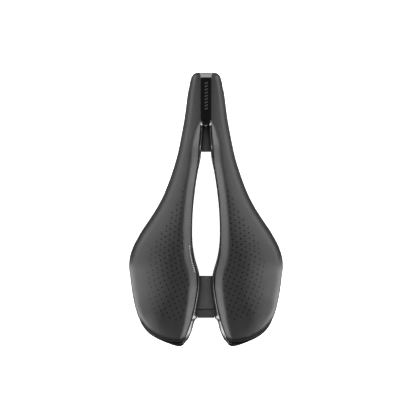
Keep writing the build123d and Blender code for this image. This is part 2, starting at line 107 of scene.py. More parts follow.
# How the padding rolls over along its silhouette: (x, y), width and depth of the edge's roll,
# then width and depth of the broad fall that leads to it.
ROLLS: Sequence[tuple[tuple[float, float], float, float, float, float]] = (
    ((5.2, 130), 6.5, 6.8, 7.0, 0.0), ((11.0, 129.2), 6.2, 6.8, 8.0, 0.2),
    ((15.1, 121), 5.8, 7.0, 10.5, 1.1), ((17, 110), 6.0, 7.0, 12.5, 2.1),
    ((20.9, 82), 6.4, 7.4, 16.0, 3.2), ((28.1, 47.8), 7.0, 7.4, 21.0, 4.9),
    ((40.3, 14), 7.8, 6.8, 27.0, 7.4), ((61.1, -19.8), 8.0, 6.4, 38.0, 10.6),
    ((72.3, -54), 6.5, 6.2, 42.0, 9.6), ((68.2, -81.9), 6.5, 6.4, 40.0, 8.4),
    ((62.6, -100.4), 6.0, 6.6, 30.0, 4.6), ((54, -111.8), 5.2, 5.8, 20.0, 2.6),
    ((40, -119.6), 4.4, 5.2, 14.0, 1.4), ((21.2, -120.8), 4.0, 4.6, 10.0, 0.8),
)  # fmt: skip
# Outer limit of the perforated field.
FIELD_EDGE: Table = (
    (20, 22), (10, 26.5), (0, 31), (-10, 37), (-20, 43), (-30, 49), (-45, 55), (-75, 55), (-92, 49),
    (-102, 38),
)  # fmt: skip
# Outer edge of the right bumper seen from above, from the notch to the side.
BUMPER_EDGE: Sequence[tuple[float, float]] = (
    (19.4, -122.6), (20.4, -124.7), (22.0, -126.1), (24.6, -126.9), (28.5, -126.4), (34, -124.7),
    (42.3, -121.5), (48, -118.7), (52.9, -115.4), (57.4, -110.9), (60.6, -106.0), (62.4, -101.9),
)  # fmt: skip
WALL_DEPTH = 12.25  # from the crown down to the foot of the padding's wall in the channel
SKIN = 1.0
NOSE_Y = 130.0
TAIL_Y = -120.8
MERGE = 2e-6  # metres; points nearer than this are one point


class Side(Enum):
    """Which half of the saddle a piece belongs to."""

    RIGHT = 1
    LEFT = -1

    @property
    def word(self) -> str:
        """The side's name as the nodes spell it."""
        return self.name.lower()


# ---------------------------------------------------------------------------- curves
def smooth(table: Table, at: np.ndarray | float) -> np.ndarray:
    """Value of a smooth curve without wiggles through a table.

    Args:
        table: (position, value) pairs with falling positions.
        at: positions to read.

    Returns:
        The curve's values there.
    """
    pairs = np.array(table, float)[::-1]
    x, v = pairs[:, 0], pairs[:, 1]
    at = np.clip(np.asarray(at, float), x[0], x[-1])
    h = np.diff(x)
    slope = np.diff(v) / h
    tangent = np.empty_like(v)
    tangent[0], tangent[-1] = slope[0], slope[-1]
    product = slope[:-1] * slope[1:]
    total = slope[:-1] + slope[1:]
    tangent[1:-1] = np.where(product > 0, 2 * product / np.where(product > 0, total, 1), 0)
    i = np.clip(np.searchsorted(x, at, side="right") - 1, 0, len(h) - 1)
    t = (at - x[i]) / h[i]
    return (
        (1 + 2 * t) * (1 - t) ** 2 * v[i]
        + t * (1 - t) ** 2 * h[i] * tangent[i]
        + t * t * (3 - 2 * t) * v[i + 1]
        + t * t * (t - 1) * h[i] * tangent[i + 1]
    )


def smooth_run(points: Sequence[Sequence[float]], count: int) -> np.ndarray:
    """An evenly spaced run of plan points on a smooth curve through a few.

    Args:
        points: the curve's points.
        count: how many points to return.

    Returns:
        An array of count rows.
    """
    p = np.array(points, float)
    ends = np.vstack([2 * p[0] - p[1], p, 2 * p[-1] - p[-2]])
    fine = []
    t = np.linspace(0, 1, 24, endpoint=False)[:, None]
    for a, b, c, d in zip(ends, ends[1:], ends[2:], ends[3:]):
        square = (2 * a - 5 * b + 4 * c - d) * t**2
        cube = (3 * b - a - 3 * c + d) * t**3
        fine.append(0.5 * (2 * b + (c - a) * t + square + cube))
    run = np.vstack([*fine, p[-1:]])
    far = np.concatenate([[0], np.cumsum(np.linalg.norm(np.diff(run, axis=0), axis=1))])
    want = np.linspace(0, far[-1], count)
    return np.stack([np.interp(want, far, run[:, k]) for k in range(run.shape[1])], 1)


def ease(t: np.ndarray) -> np.ndarray:
    """A smooth step from 0 to 1, flat at both ends."""
    t = np.clip(t, 0, 1)
    return t * t * (3 - 2 * t)


def to_line(points: np.ndarray, start: np.ndarray, end: np.ndarray) -> np.ndarray:
    """Distance from each point to its own straight stretch from start to end."""
    way = end - start
    share = ((points - start) * way).sum(1) / np.maximum((way**2).sum(1), 1e-12)
    return np.linalg.norm(points - start - way * np.clip(share, 0, 1)[:, None], axis=1)


def nearest(points: np.ndarray, run: np.ndarray) -> tuple[np.ndarray, np.ndarray]:
    """Distance from each plan point to a run, and the index of the run's nearest point.

    Args:
        points: plan points, any shape ending in 2.
        run: the run's points.

    Returns:
        Distances and indices, in the shape of the points.
    """
    flat = points.reshape(-1, 2)
    gap, index = np.empty(len(flat)), np.empty(len(flat), int)
    batch = 4096
    for start in range(0, len(flat), batch):
        part = flat[start : start + batch]
        away = ((part[:, None, :] - run[None]) ** 2).sum(2)
        best = away.argmin(1)
        before = to_line(part, run[np.maximum(best - 1, 0)], run[best])
        after = to_line(part, run[best], run[np.minimum(best + 1, len(run) - 1)])
        gap[start : start + batch] = np.minimum(before, after)
        index[start : start + batch] = best
    return gap.reshape(points.shape[:-1]), index.reshape(points.shape[:-1])


def superellipse(count: int, power: float) -> np.ndarray:
    """Unit points round a rounded rectangle, anticlockwise from the right.

    Args:
        count: number of points.
        power: 2 is a circle, more is squarer.

    Returns:
        An array of (across, up) points.
    """
    a = np.linspace(0, 2 * math.pi, count, endpoint=False)
    c, s = np.cos(a), np.sin(a)
    return np.stack([np.sign(c) * np.abs(c) ** (2 / power), np.sign(s) * np.abs(s) ** (2 / power)], 1)


# ---------------------------------------------------------------------------- meshes
def grid_faces(rows: int, columns: int, ring: bool) -> list[tuple[int, ...]]:
    """Quads over a grid of points.

    Args:
        rows: number of rows.
        columns: points in a row.
        ring: whether each row closes on itself.

    Returns:
        The faces as index tuples.
    """
    faces = []
    for r in range(rows - 1):
        for c in range(columns if ring else columns - 1):
            d = (c + 1) % columns
            faces.append((r * columns + c, r * columns + d, (r + 1) * columns + d, (r + 1) * columns + c))
    return faces


def piece_from(
    name: str,
    points: np.ndarray,
    faces: Sequence[tuple[int, ...]],
    finish: bpy.types.Material,
    crease: float = 40.0,
) -> bpy.types.Object:
    """A clean mesh object from points in millimetres.

    Args:
        name: the object's name.
        points: rows of x, y, z in millimetres.
        faces: index tuples.
        finish: its material.
        crease: edges sharper than this many degrees stay sharp.

    Returns:
        The new object, at the origin.
    """
    mesh = bpy.data.meshes.new(name)
    mesh.from_pydata((np.asarray(points, float).reshape(-1, 3) * MM).tolist(), [], list(faces))
    obj = bpy.data.objects.new(name, mesh)
    bpy.context.scene.collection.objects.link(obj)
    mesh.materials.append(finish)
    tidy_mesh(obj, crease)
    return obj


def tidy_mesh(obj: bpy.types.Object, crease: float = 40.0, outward: bool = True) -> None:
    """Merge doubles, drop empty faces, face outwards and shade smooth up to a crease angle.

    Args:
        obj: a mesh object.
        crease: edges sharper than this many degrees stay sharp.
        outward: whether to recalculate which way the faces point.
    """
    bm = bmesh.new()
    bm.from_mesh(obj.data)
    bmesh.ops.remove_doubles(bm, verts=bm.verts, dist=MERGE)
    bmesh.ops.dissolve_degenerate(bm, edges=bm.edges, dist=MERGE)
    if outward:
        bmesh.ops.recalc_face_normals(bm, faces=bm.faces)
    bm.to_mesh(obj.data)
    bm.free()
    obj.data.shade_smooth()
    obj.data.set_sharp_from_angle(angle=math.radians(crease))


def baked(obj: bpy.types.Object) -> bpy.types.Object:
    """Replace an object's mesh with what its modifiers make of it, and drop the modifiers."""
    dg = bpy.context.evaluated_depsgraph_get()
    mesh = bpy.data.meshes.new_from_object(obj.evaluated_get(dg), preserve_all_data_layers=True, depsgraph=dg)
    obj.modifiers.clear()
    obj.data = mesh
    return obj


def ring_loft(
    name: str,
    sections: np.ndarray,
    finish: bpy.types.Material,
    crease: float = 40.0,
) -> bpy.types.Object:
    """A closed body through closed sections, with both ends capped.

    Args:
        name: the object's name.
        sections: an array of sections, each the same number of points in millimetres.
        finish: its material.
        crease: edges sharper than this many degrees stay sharp.

    Returns:
        The new object.
    """
    rows, columns = sections.shape[:2]
    faces = grid_faces(rows, columns, True)
    faces.append(tuple(range(columns)))
    faces.append(tuple(range((rows - 1) * columns, rows * columns))[::-1])
    return piece_from(name, sections, faces, finish, crease)


# ---------------------------------------------------------------------------- shader maths
class Val:
    """One value in a material, with the usual arithmetic."""

    def __init__(self, paint: "ShaderTree", socket: bpy.types.NodeSocket) -> None:
        """Wrap an output socket of a tree."""
        self.paint = paint
        self.socket = socket

    def _math(self, operation: str, *others: Any) -> "Val":
        """Add one Math node for an operation on this value and others."""
        inputs = dict(enumerate((self, *others)))
        made = self.paint.node("ShaderNodeMath", {"operation": operation}, inputs)
        return Val(self.paint, made.outputs[0])

    def _swapped(self, operation: str, first: float) -> "Val":
        """Add one Math node with a number in front of this value."""
        made = self.paint.node("ShaderNodeMath", {"operation": operation}, {0: first, 1: self})
        return Val(self.paint, made.outputs[0])

    def __add__(self, other: Any) -> "Val":
        """Sum."""
        return self._math("ADD", other)

    __radd__ = __add__

    def __rsub__(self, other: float) -> "Val":
        """Difference from a number."""
        return self._swapped("SUBTRACT", other)

    def __mul__(self, other: Any) -> "Val":
        """Product."""
        return self._math("MULTIPLY", other)

    __rmul__ = __mul__

    def __abs__(self) -> "Val":
        """Distance from zero."""
        return self._math("ABSOLUTE")

    def ramp(self, low: float, high: float, start: float = 0.0, end: float = 1.0) -> "Val":
        """This value moved smoothly from one range to another, and held at its ends.

        Args:
            low: value that becomes start.
            high: value that becomes end.
            start: result at low.
            end: result at high.

        Returns:
            The new value.
        """
        made = self.paint.node(
            "ShaderNodeMapRange",
            {"interpolation_type": "SMOOTHSTEP"},
            {"Value": self, "From Min": low, "From Max": high, "To Min": start, "To Max": end},
        )
        return Val(self.paint, made.outputs["Result"])


class ShaderTree:
    """A shader node tree under construction, for a material or for the surroundings."""

    def __init__(self, tree: bpy.types.NodeTree, coordinate: str) -> None:
        """Take over an empty tree.

        Args:
            tree: the tree.
            coordinate: which texture coordinate gives the place.
        """
        self.tree = tree
        self.tree.nodes.clear()
        self.place = self.node("ShaderNodeTexCoord", {}, {}).outputs[coordinate]

    def node(self, kind: str, settings: dict[str, Any], inputs: dict[Any, Any]) -> bpy.types.Node:
        """Add a node, set it up, and fill or link its sockets.

        Args:
            kind: the node's type.
            settings: attributes to set first.
            inputs: values, Val objects or sockets by socket name or number.

        Returns:
            The node.
        """
        made = self.tree.nodes.new(kind)
        for key, value in settings.items():
            setattr(made, key, value)
        for key, value in inputs.items():
            socket = made.inputs[key]
            if isinstance(value, Val):
                value = value.socket
            if isinstance(value, bpy.types.NodeSocket):
                self.tree.links.new(value, socket)
            else:
                socket.default_value = value
        return made

    def axis(self, letter: str) -> Val:
        """One object coordinate in metres: X, Y or Z."""
        split = self.node("ShaderNodeSeparateXYZ", {}, {0: self.place})
        return Val(self, split.outputs[letter])


class Paint(ShaderTree):
    """A material under construction."""

    def __init__(self, name: str) -> None:
        """Start an empty material with its shader and coordinates."""
        self.material = bpy.data.materials.new(name)
        self.material.use_nodes = True
        super().__init__(self.material.node_tree, "Object")
        self.shader = self.node("ShaderNodeBsdfPrincipled", {}, {})
        self.node("ShaderNodeOutputMaterial", {}, {"Surface": self.shader.outputs["BSDF"]})

    def stretched(self, scale: tuple[float, float, float]) -> bpy.types.NodeSocket:
        """Object coordinates multiplied along each axis."""
        made = self.node("ShaderNodeMapping", {}, {"Vector": self.place, "Scale": scale})
        return made.outputs["Vector"]

    def noise(self, scale: float, detail: float = 3.0, rough: float = 0.55, at: Any = None) -> Val:
        """Fractal noise between 0 and 1.

        Args:
            scale: features per metre.
            detail: octaves.
            rough: share of the finer octaves.
            at: coordinates, or the object's own.

        Returns:
            The noise.
        """
        made = self.node(
            "ShaderNodeTexNoise",
            {"noise_dimensions": "3D"},
            {"Vector": at or self.place, "Scale": scale, "Detail": detail, "Roughness": rough},
        )
        return Val(self, made.outputs["Fac"])

    def cells(self, scale: float, feature: str = "F1", at: Any = None) -> Val:
        """Distance pattern of random cells.

        Args:
            scale: cells per metre.
            feature: which distance.
            at: coordinates, or the object's own.

        Returns:
            The distance, about 0 to 1.
        """
        made = self.node(
            "ShaderNodeTexVoronoi", {"feature": feature}, {"Vector": at or self.place, "Scale": scale}
        )
        return Val(self, made.outputs["Distance"])

    def blend(self, share: Any, first: Any, second: Any) -> bpy.types.NodeSocket:
        """A colour between two.

        Args:
            share: 0 for the first, 1 for the second.
            first: colour tuple or socket.
            second: colour tuple or socket.

        Returns:
            The colour socket.
        """
        made = self.tree.nodes.new("ShaderNodeMix")
        made.data_type = "RGBA"
        for key, value in ((0, share), (6, first), (7, second)):
            if isinstance(value, Val):
                value = value.socket
            if isinstance(value, bpy.types.NodeSocket):
                self.tree.links.new(value, made.inputs[key])
            elif key == 0:
                made.inputs[key].default_value = value
            else:
                made.inputs[key].default_value = (*value, 1.0)
        return made.outputs[2]

    def relief(self, height: Val, depth_mm: float, strength: float = 1.0) -> None:
        """Drive the shader's normal from a height.

        Args:
            height: height between 0 and 1.
            depth_mm: what a height of 1 stands for.
            strength: how much of it shows.
        """
        bump = self.node(
            "ShaderNodeBump", {}, {"Height": height, "Distance": depth_mm * MM, "Strength": strength}
        )
        self.tree.links.new(bump.outputs["Normal"], self.shader.inputs["Normal"])

    def finish(self, **values: Any) -> bpy.types.Material:
        """Fill the shader's sockets, given with underscores for spaces, and return the material."""
        for key, value in values.items():
            socket = self.shader.inputs[key.replace("_", " ")]
            if isinstance(value, Val):
                value = value.socket
            if isinstance(value, bpy.types.NodeSocket):
                self.tree.links.new(value, socket)
            elif isinstance(value, tuple) and len(value) == 3 and socket.type == "RGBA":
                socket.default_value = (*value, 1.0)
            else:
                socket.default_value = value
        return self.material


Colour = tuple[float, float, float]


@dataclass(frozen=True)
class Microfibre:
    """Matte coated microfibre with a fine hide grain, with painted light: a shade lighter on the nose."""

    dark: Colour = (0.002, 0.002, 0.0022)
    light: Colour = (0.006, 0.006, 0.0063)
    # Painted light: lighter colours for the nose, standing in for the extra light the nose catches.
    painted_lit_nose_dark: Colour = (0.012, 0.012, 0.0123)
    painted_lit_nose_light: Colour = (0.024, 0.024, 0.0245)
    grain: float = 1500.0
    grain_depth: float = 0.08

    def material(self) -> bpy.types.Material:
        """Build the material."""
        p = Paint("microfibre")
        wander = p.noise(260, 2)
        pebbles = p.cells(self.grain, "DISTANCE_TO_EDGE")
        grain = pebbles.ramp(0.0, 0.32)
        fibre = p.noise(9000, 4, 0.7)
        cloud = p.noise(38, 3, 0.5)
        tone = grain * 0.45 + fibre * 0.25 + cloud * 0.3
        p.relief(grain * 0.7 + fibre * 0.3 + wander * 0.2, self.grain_depth, 0.55)
        tail = p.blend(tone, self.dark, self.light)
        nose = p.blend(tone, self.painted_lit_nose_dark, self.painted_lit_nose_light)
        return p.finish(
            # Painted light: the colour turns from the tail colours to the lighter nose colours towards the
            # front.
            Base_Color=p.blend(p.axis("Y").ramp(-0.05, 0.07), tail, nose),
            Roughness=0.255 + fibre * 0.06 + (1 - grain) * 0.06 + cloud * 0.04,
            Specular_IOR_Level=0.5,
        )


@dataclass(frozen=True)
class PitLining:
    """The dark inside of a perforation."""

    dark: Colour = (0.003, 0.003, 0.003)
    light: Colour = (0.007, 0.007, 0.007)

    def material(self) -> bpy.types.Material:
        """Build the material."""
        p = Paint("perforation_lining")
        speck = p.noise(5000, 2)
        return p.finish(
            Base_Color=p.blend(speck, self.dark, self.light), Roughness=0.9, Specular_IOR_Level=0.1
        )


@dataclass(frozen=True)
class GlossMoulding:
    """Polished black moulding with a faint swell and fine dust."""

    name: str = "gloss_moulding"
    colour: Colour = (0.003, 0.003, 0.0035)
    roughness: float = 0.12
    specular: float = 0.5
    dust: Colour = (0.016, 0.016, 0.017)

    def material(self) -> bpy.types.Material:
        """Build the material."""
        p = Paint(self.name)
        swell = p.noise(120, 2)
        dust = p.noise(2600, 3, 0.7)
        haze = p.noise(60, 3)
        p.relief(swell * 0.8 + dust * 0.2, 0.03, 0.25)
        return p.finish(
            Base_Color=p.blend(dust.ramp(0.5, 0.9), self.colour, self.dust),
            Roughness=self.roughness + haze * 0.05 + dust.ramp(0.55, 0.85) * 0.08,
            Coat_Weight=0.5 + haze * 0.2,
            Coat_Roughness=0.06,
            Specular_IOR_Level=self.specular,
        )


@dataclass(frozen=True)
class MatteMoulding:
    """Spark-textured black moulding."""

    name: str = "matte_moulding"
    dark: Colour = (0.013, 0.013, 0.0135)
    light: Colour = (0.026, 0.026, 0.027)
    roughness: float = 0.5

    def material(self) -> bpy.types.Material:
        """Build the material."""
        p = Paint(self.name)
        spark = p.noise(4200, 3, 0.65)
        patch = p.noise(90, 3)
        p.relief(spark, 0.06, 0.5)
        return p.finish(
            Base_Color=p.blend(spark * 0.6 + patch * 0.4, self.dark, self.light),
            Roughness=self.roughness - 0.06 + spark * 0.16 + patch * 0.04,
        )


@dataclass(frozen=True)
class FoamFinish:
    """Open-cell foam."""

    dark: Colour = (0.03, 0.03, 0.032)
    light: Colour = (0.10, 0.10, 0.105)

    def material(self) -> bpy.types.Material:
        """Build the material."""
        p = Paint("open_cell_foam")
        cell = p.cells(900)
        fine = p.noise(3000, 3)
        p.relief(cell * 0.8 + fine * 0.2, 0.4, 0.8)
        return p.finish(Base_Color=p.blend(cell, self.dark, self.light), Roughness=0.9)


@dataclass(frozen=True)
class GelFinish:
    """Soft cast gel."""

    dark: Colour = (0.10, 0.12, 0.16)
    light: Colour = (0.20, 0.22, 0.27)

    def material(self) -> bpy.types.Material:
        """Build the material."""
        p = Paint("cast_gel")
        cloud = p.noise(140, 4)
        p.relief(cloud, 0.1, 0.3)
        return p.finish(Base_Color=p.blend(cloud, self.dark, self.light), Roughness=0.25 + cloud * 0.1)


@dataclass(frozen=True)
class SatinTube:
    """Satin drawn tube, with the fine lines of drawing along it."""

    dark: Colour = (0.16, 0.16, 0.165)
    light: Colour = (0.33, 0.33, 0.335)

    def material(self) -> bpy.types.Material:
        """Build the material."""
        p = Paint("satin_tube")
        drawn = p.noise(2600, 3, 0.6, p.stretched((1.0, 0.04, 1.0)))
        smudge = p.noise(70, 3)
        p.relief(drawn, 0.02, 0.35)
        return p.finish(
            Base_Color=p.blend(drawn * 0.6 + smudge * 0.4, self.dark, self.light),
            Metallic=1.0,
            Roughness=0.27 + drawn * 0.12 + smudge * 0.08,
        )


@dataclass(frozen=True)
class PlatedSteel:
    """Zinc-plated fastener steel."""

    dark: Colour = (0.34, 0.34, 0.35)
    light: Colour = (0.58, 0.58, 0.59)

    def material(self) -> bpy.types.Material:
        """Build the material."""
        p = Paint("plated_steel")
        bloom = p.noise(900, 4)
        p.relief(bloom, 0.02, 0.4)
        return p.finish(
            Base_Color=p.blend(bloom, self.dark, self.light), Metallic=1.0, Roughness=0.24 + bloom * 0.2
        )


@dataclass(frozen=True)
class PrintedMark:
    """Pale ink, slightly worn."""

    name: str
    colour: Colour

    def material(self) -> bpy.types.Material:
        """Build the material."""
        p = Paint(self.name)
        worn = p.noise(3000, 3)
        dark = tuple(c * 0.7 for c in self.colour)
        return p.finish(Base_Color=p.blend(worn, dark, self.colour), Roughness=0.4 + worn * 0.2)


@dataclass(frozen=True)
class PaperFloor:
    """Pale paper sweep, lit evenly by itself."""

    dark: Colour = (0.93, 0.93, 0.93)
    light: Colour = (0.95, 0.95, 0.95)

    def material(self) -> bpy.types.Material:
        """Build the material."""
        p = Paint("paper_floor")
        tooth = p.noise(300, 4)
        white = p.blend(tooth, self.dark, self.light)
        return p.finish(
            Base_Color=white, Roughness=0.8 + tooth * 0.1, Emission_Color=white, Emission_Strength=1.0
        )


@dataclass(frozen=True)
class Finishes:
    """Every material of the saddle, built once."""

    cover: bpy.types.Material
    pit: bpy.types.Material
    gloss: bpy.types.Material
    shell: bpy.types.Material
    lip: bpy.types.Material
    panel: bpy.types.Material
    matte: bpy.types.Material
    foam: bpy.types.Material
    gel: bpy.types.Material
    rail: bpy.types.Material
    steel: bpy.types.Material
    plate: bpy.types.Material
    # Painted reflection: light grey for the nose strip's rolled front.
    pale_ink: bpy.types.Material
    grey_ink: bpy.types.Material
    floor: bpy.types.Material

    @classmethod
    def mixed(cls) -> "Finishes":
        """Build the whole set."""
        panel = MatteMoulding("panel_moulding", (0.026, 0.026, 0.0265), (0.048, 0.048, 0.049))
        # Painted reflection: a light grey matte finish standing in for the reflection the glossy roll over
        # the nose catches.
        plate = MatteMoulding("nose_painted_reflection", (0.15, 0.15, 0.152), (0.21, 0.21, 0.212), 0.34)
        return cls(
            cover=Microfibre().material(),
            pit=PitLining().material(),
            gloss=GlossMoulding().material(),
            shell=GlossMoulding("shell_moulding", (0.008, 0.008, 0.0085), 0.2).material(),
            lip=GlossMoulding("polished_lip", (0.014, 0.014, 0.0145), 0.16, 1.0).material(),
            panel=panel.material(),
            matte=MatteMoulding().material(),
            foam=FoamFinish().material(),
            gel=GelFinish().material(),
            rail=SatinTube().material(),
            steel=PlatedSteel().material(),
            plate=plate.material(),
            pale_ink=PrintedMark("pale_ink", (0.72, 0.72, 0.73)).material(),
            grey_ink=PrintedMark("grey_ink", (0.017, 0.017, 0.0175)).material(),
            floor=PaperFloor().material(),
        )


# ---------------------------------------------------------------------------- geometry node trees
class NodeTree:
    """A geometry node group under construction."""

    def __init__(self, name: str) -> None:
        """Start a group with a mesh in and a mesh out."""
        self.group = bpy.data.node_groups.new(name, "GeometryNodeTree")
        face = self.group.interface
        face.new_socket("Geometry", in_out="INPUT", socket_type="NodeSocketGeometry")
        face.new_socket("Geometry", in_out="OUTPUT", socket_type="NodeSocketGeometry")
        self.entry = self.group.nodes.new("NodeGroupInput")
        self.exit = self.group.nodes.new("NodeGroupOutput")
        self.defaults: dict[str, Any] = {}

    def size(self, name: str, value: Any, kind: str = "NodeSocketFloat") -> bpy.types.NodeSocket:
        """Add a named input with a value.

        Args:
            name: its name.
            value: its value on the modifier.
            kind: its socket type.

        Returns:
            The socket inside the group.
        """
        self.group.interface.new_socket(name, in_out="INPUT", socket_type=kind)
        self.defaults[name] = value
        return self.entry.outputs[name]

    def add(self, kind: str, settings: dict[str, Any], inputs: dict[Any, Any]) -> bpy.types.Node:
        """Add a node, set it up, and fill or link its sockets.

        Args:
            kind: the node's type.
            settings: attributes to set first.
            inputs: values or sockets by socket name or number.

        Returns:
            The node.
        """
        made = self.group.nodes.new(kind)
        for key, value in settings.items():
            setattr(made, key, value)
        for key, value in inputs.items():
            if isinstance(value, bpy.types.NodeSocket):
                self.group.links.new(value, made.inputs[key])
            else:
                made.inputs[key].default_value = value
        return made

    def math(self, operation: str, first: Any, second: Any = 0.0, third: Any = 0.0) -> bpy.types.NodeSocket:
        """The result of one Math node."""
        made = self.add("ShaderNodeMath", {"operation": operation}, {0: first, 1: second, 2: third})
        return made.outputs[0]

    def close(self, geometry: bpy.types.NodeSocket) -> None:
        """Send the geometry out."""
        self.group.links.new(geometry, self.exit.inputs[0])

    def apply(self, obj: bpy.types.Object) -> bpy.types.Object:
        """Run the group on an object and keep the plain result.

        Args:
            obj: a mesh object.

        Returns:
            The same object with its new mesh.
        """
        modifier = obj.modifiers.new(self.group.name, "NODES")
        modifier.node_group = self.group
        for item in self.group.interface.items_tree:
            socket = item.item_type == "SOCKET" and item.in_out == "INPUT"
            if socket and item.name in self.defaults:
                modifier[item.identifier] = self.defaults[item.name]
        return baked(obj)


# ---------------------------------------------------------------------------- the padded halves
@dataclass
class PaddedForm:
    """Outer shape of the right half's padding as a grid of points, shared by foam and cover."""

    rows: int = 380
    dish: float = 0.3  # depth of the valley under the sit bones
    dish_span: tuple[float, float] = (-118.0, 30.0)  # where the valley starts and ends
    dish_fades: tuple[float, float] = (30.0, 60.0)  # how gently, at the rear and in front
    slope: float = 0.72  # of the bevel beside the channel
    lip: tuple[float, float] = (0.25, 0.7)  # radius of the channel's edge, without and with a bevel
    wall_gap: float = 0.3
    lean: tuple[float, float] = (1.6, 0.5)  # how far the skirt leans in, at the tail and the nose
    lean_from: float = 96.0
    lean_over: float = 20.0
    closed_from: float = 121.0  # ahead of here the wall reaches down to the hem
    closed_over: float = 6.0
    top: slice = field(init=False)
    grid: np.ndarray = field(init=False)
    holes: np.ndarray = field(init=False)

    def __post_init__(self) -> None:
        """Work out the grid and the perforation field once."""
        self.inner, self.outer, self.at_i, self.at_o = self.plan()
        plan = self.levels()
        z = self.height(plan)
        wall, skirt = self.wall(z[:, 0]), self.skirt(z[:, -1])
        self.grid = np.concatenate([wall, np.concatenate([plan, z[..., None]], 2), skirt], 1)
        self.top = slice(wall.shape[1], wall.shape[1] + plan.shape[1])
        self.holes = np.zeros(self.grid.shape[:2])
        self.holes[:, self.top] = self.perforation(plan)

    def plan(self) -> tuple[np.ndarray, np.ndarray, np.ndarray, np.ndarray]:
        """Runs of the channel's edge and the silhouette, and the two ends of each section line."""
        ys = np.linspace(NOSE_Y, TAIL_Y, 1400)
        inner = np.stack([smooth(CHANNEL_EDGE, ys), ys], 1)
        outer = smooth_run(SILHOUETTE, 1600)
        marks = []
        for y, spot in PAIRS:
            i = np.abs(inner[:, 1] - y).argmin()
            j = ((outer - np.array(spot)) ** 2).sum(1).argmin()
            marks.append((i, j))
        share = 0.35  # of the channel's edge in how fast the section lines move on
        pace = [share * i / len(inner) + (1 - share) * j / len(outer) for i, j in marks]
        s = np.linspace(pace[0], pace[-1], self.rows)
        i = smooth([(-p, m[0]) for p, m in zip(pace, marks)], -s)
        j = smooth([(-p, m[1]) for p, m in zip(pace, marks)], -s)
        at_i = np.stack([np.interp(i, np.arange(len(inner)), inner[:, k]) for k in (0, 1)], 1)
        at_o = np.stack([np.interp(j, np.arange(len(outer)), outer[:, k]) for k in (0, 1)], 1)
        return inner, outer, at_i, at_o

    def levels(self) -> np.ndarray:
        """Plan points of the top, spaced closely where it bends: along the bevel and the roll."""
        t = np.linspace(0, 1, 140)
        nudge = t * 1e-6  # keeps the distances rising, so that they can be read backwards
        most = 0.45  # of a section line that the bevel or the roll may take
        across = self.at_o - self.at_i
        lines = self.at_i[:, None, :] + across[:, None, :] * t[None, :, None]
        d_in, _ = nearest(lines, self.inner[::2])
        d_out, index = nearest(lines, self.outer[::2])
        roll = self.roll_sizes()[0][::2]
        width = smooth(BEVEL_WIDTH, self.at_i[:, 1])
        lip = np.array([0, 0.12, 0.3, 0.6, 1.0])
        turn = np.sin(np.linspace(0, math.pi / 2, 15))
        points = []
        for r in range(self.rows):
            w = max(width[r], 3.0)
            steps = np.concatenate([lip, np.linspace(1.6, w - 1.2, 5), w + np.linspace(-0.8, 1.2, 5)])
            back = roll[index[r, -1]] * (1 - turn)
            rise = np.maximum.accumulate(d_in[r])
            fall = np.maximum.accumulate(d_out[r][::-1])
            t_in = np.interp(steps, rise + nudge, t)
            t_out = 1 - np.interp(back, fall + nudge, t)
            if t_in[-1] > most:
                t_in *= most / t_in[-1]
            if t_out[0] < 1 - most:
                t_out = 1 - (1 - t_out) * (most / (1 - t_out[0]))
            middle = np.linspace(t_in[-1], t_out[0], 24)[1:-1]
            full = np.concatenate([t_in, middle, t_out])
            points.append(self.at_i[r] + across[r] * full[:, None])
        return np.array(points)

    def roll_sizes(self) -> list[np.ndarray]:
        """Width and depth of the edge's roll and of the broad fall, all along the silhouette."""
        marks = [((self.outer - np.array(p[0])) ** 2).sum(1).argmin() for p in ROLLS]
        marks[-1] = len(self.outer) - 1
        along = np.arange(len(self.outer))
        return [smooth([(-m, p[k]) for m, p in zip(marks, ROLLS)], -along) for k in (1, 2, 3, 4)]

    def height(self, plan: np.ndarray) -> np.ndarray:
        """Height of the top over plan points, in millimetres."""
        d_in, _ = nearest(plan, self.inner[::2])
        d_out, index = nearest(plan, self.outer[::2])
        roll, depth, fall, sink = (v[::2][index] for v in self.roll_sizes())
        y = plan[..., 1]
        bevel = smooth(BEVEL_WIDTH, y)
        z = smooth(CROWN, y)
        soft = 0.2 + 0.36 * bevel
        ramp = bevel - d_in
        fall_in = 0.5 * (ramp + np.sqrt(ramp**2 + soft**2))
        z = z - self.slope * fall_in * ease(bevel / 1.6)
        lip = self.lip[0] + (self.lip[1] - self.lip[0]) * ease(bevel / 5)
        edge = np.clip(1 - d_in / lip, 0, 1)
        z = z - 0.8 * lip * (1 - np.sqrt(1 - edge**2))
        turn = np.clip(1 - d_out / roll, 0, 1)
        z = z - depth * (1 - np.sqrt(np.clip(1 - turn**2, 0, 1)))
        z = z - sink * np.clip(1 - d_out / fall, 0, 1) ** 2
        rear, front = self.dish_span
        broad = ease((front - y) / self.dish_fades[1]) * ease((y - rear) / self.dish_fades[0])
        hollow = ease((d_in - bevel) / 12) * ease((d_out - 0.45 * roll) / 24)
        return z - self.dish * broad * hollow

    def wall(self, top: np.ndarray) -> np.ndarray:
        """Points of the wall down into the channel, from its foot up."""
        foot = smooth(CROWN, self.at_i[:, 1]) - WALL_DEPTH
        hem = smooth(SKIRT, NOSE_Y)
        foot = foot + (hem - foot) * ease((self.at_i[:, 1] - self.closed_from) / self.closed_over)
        rise = top - self.wall_gap - foot
        rows = [np.column_stack([self.at_i, foot + rise * share]) for share in np.linspace(0, 1, 6)[:-1]]
        return np.stack(rows, 1)

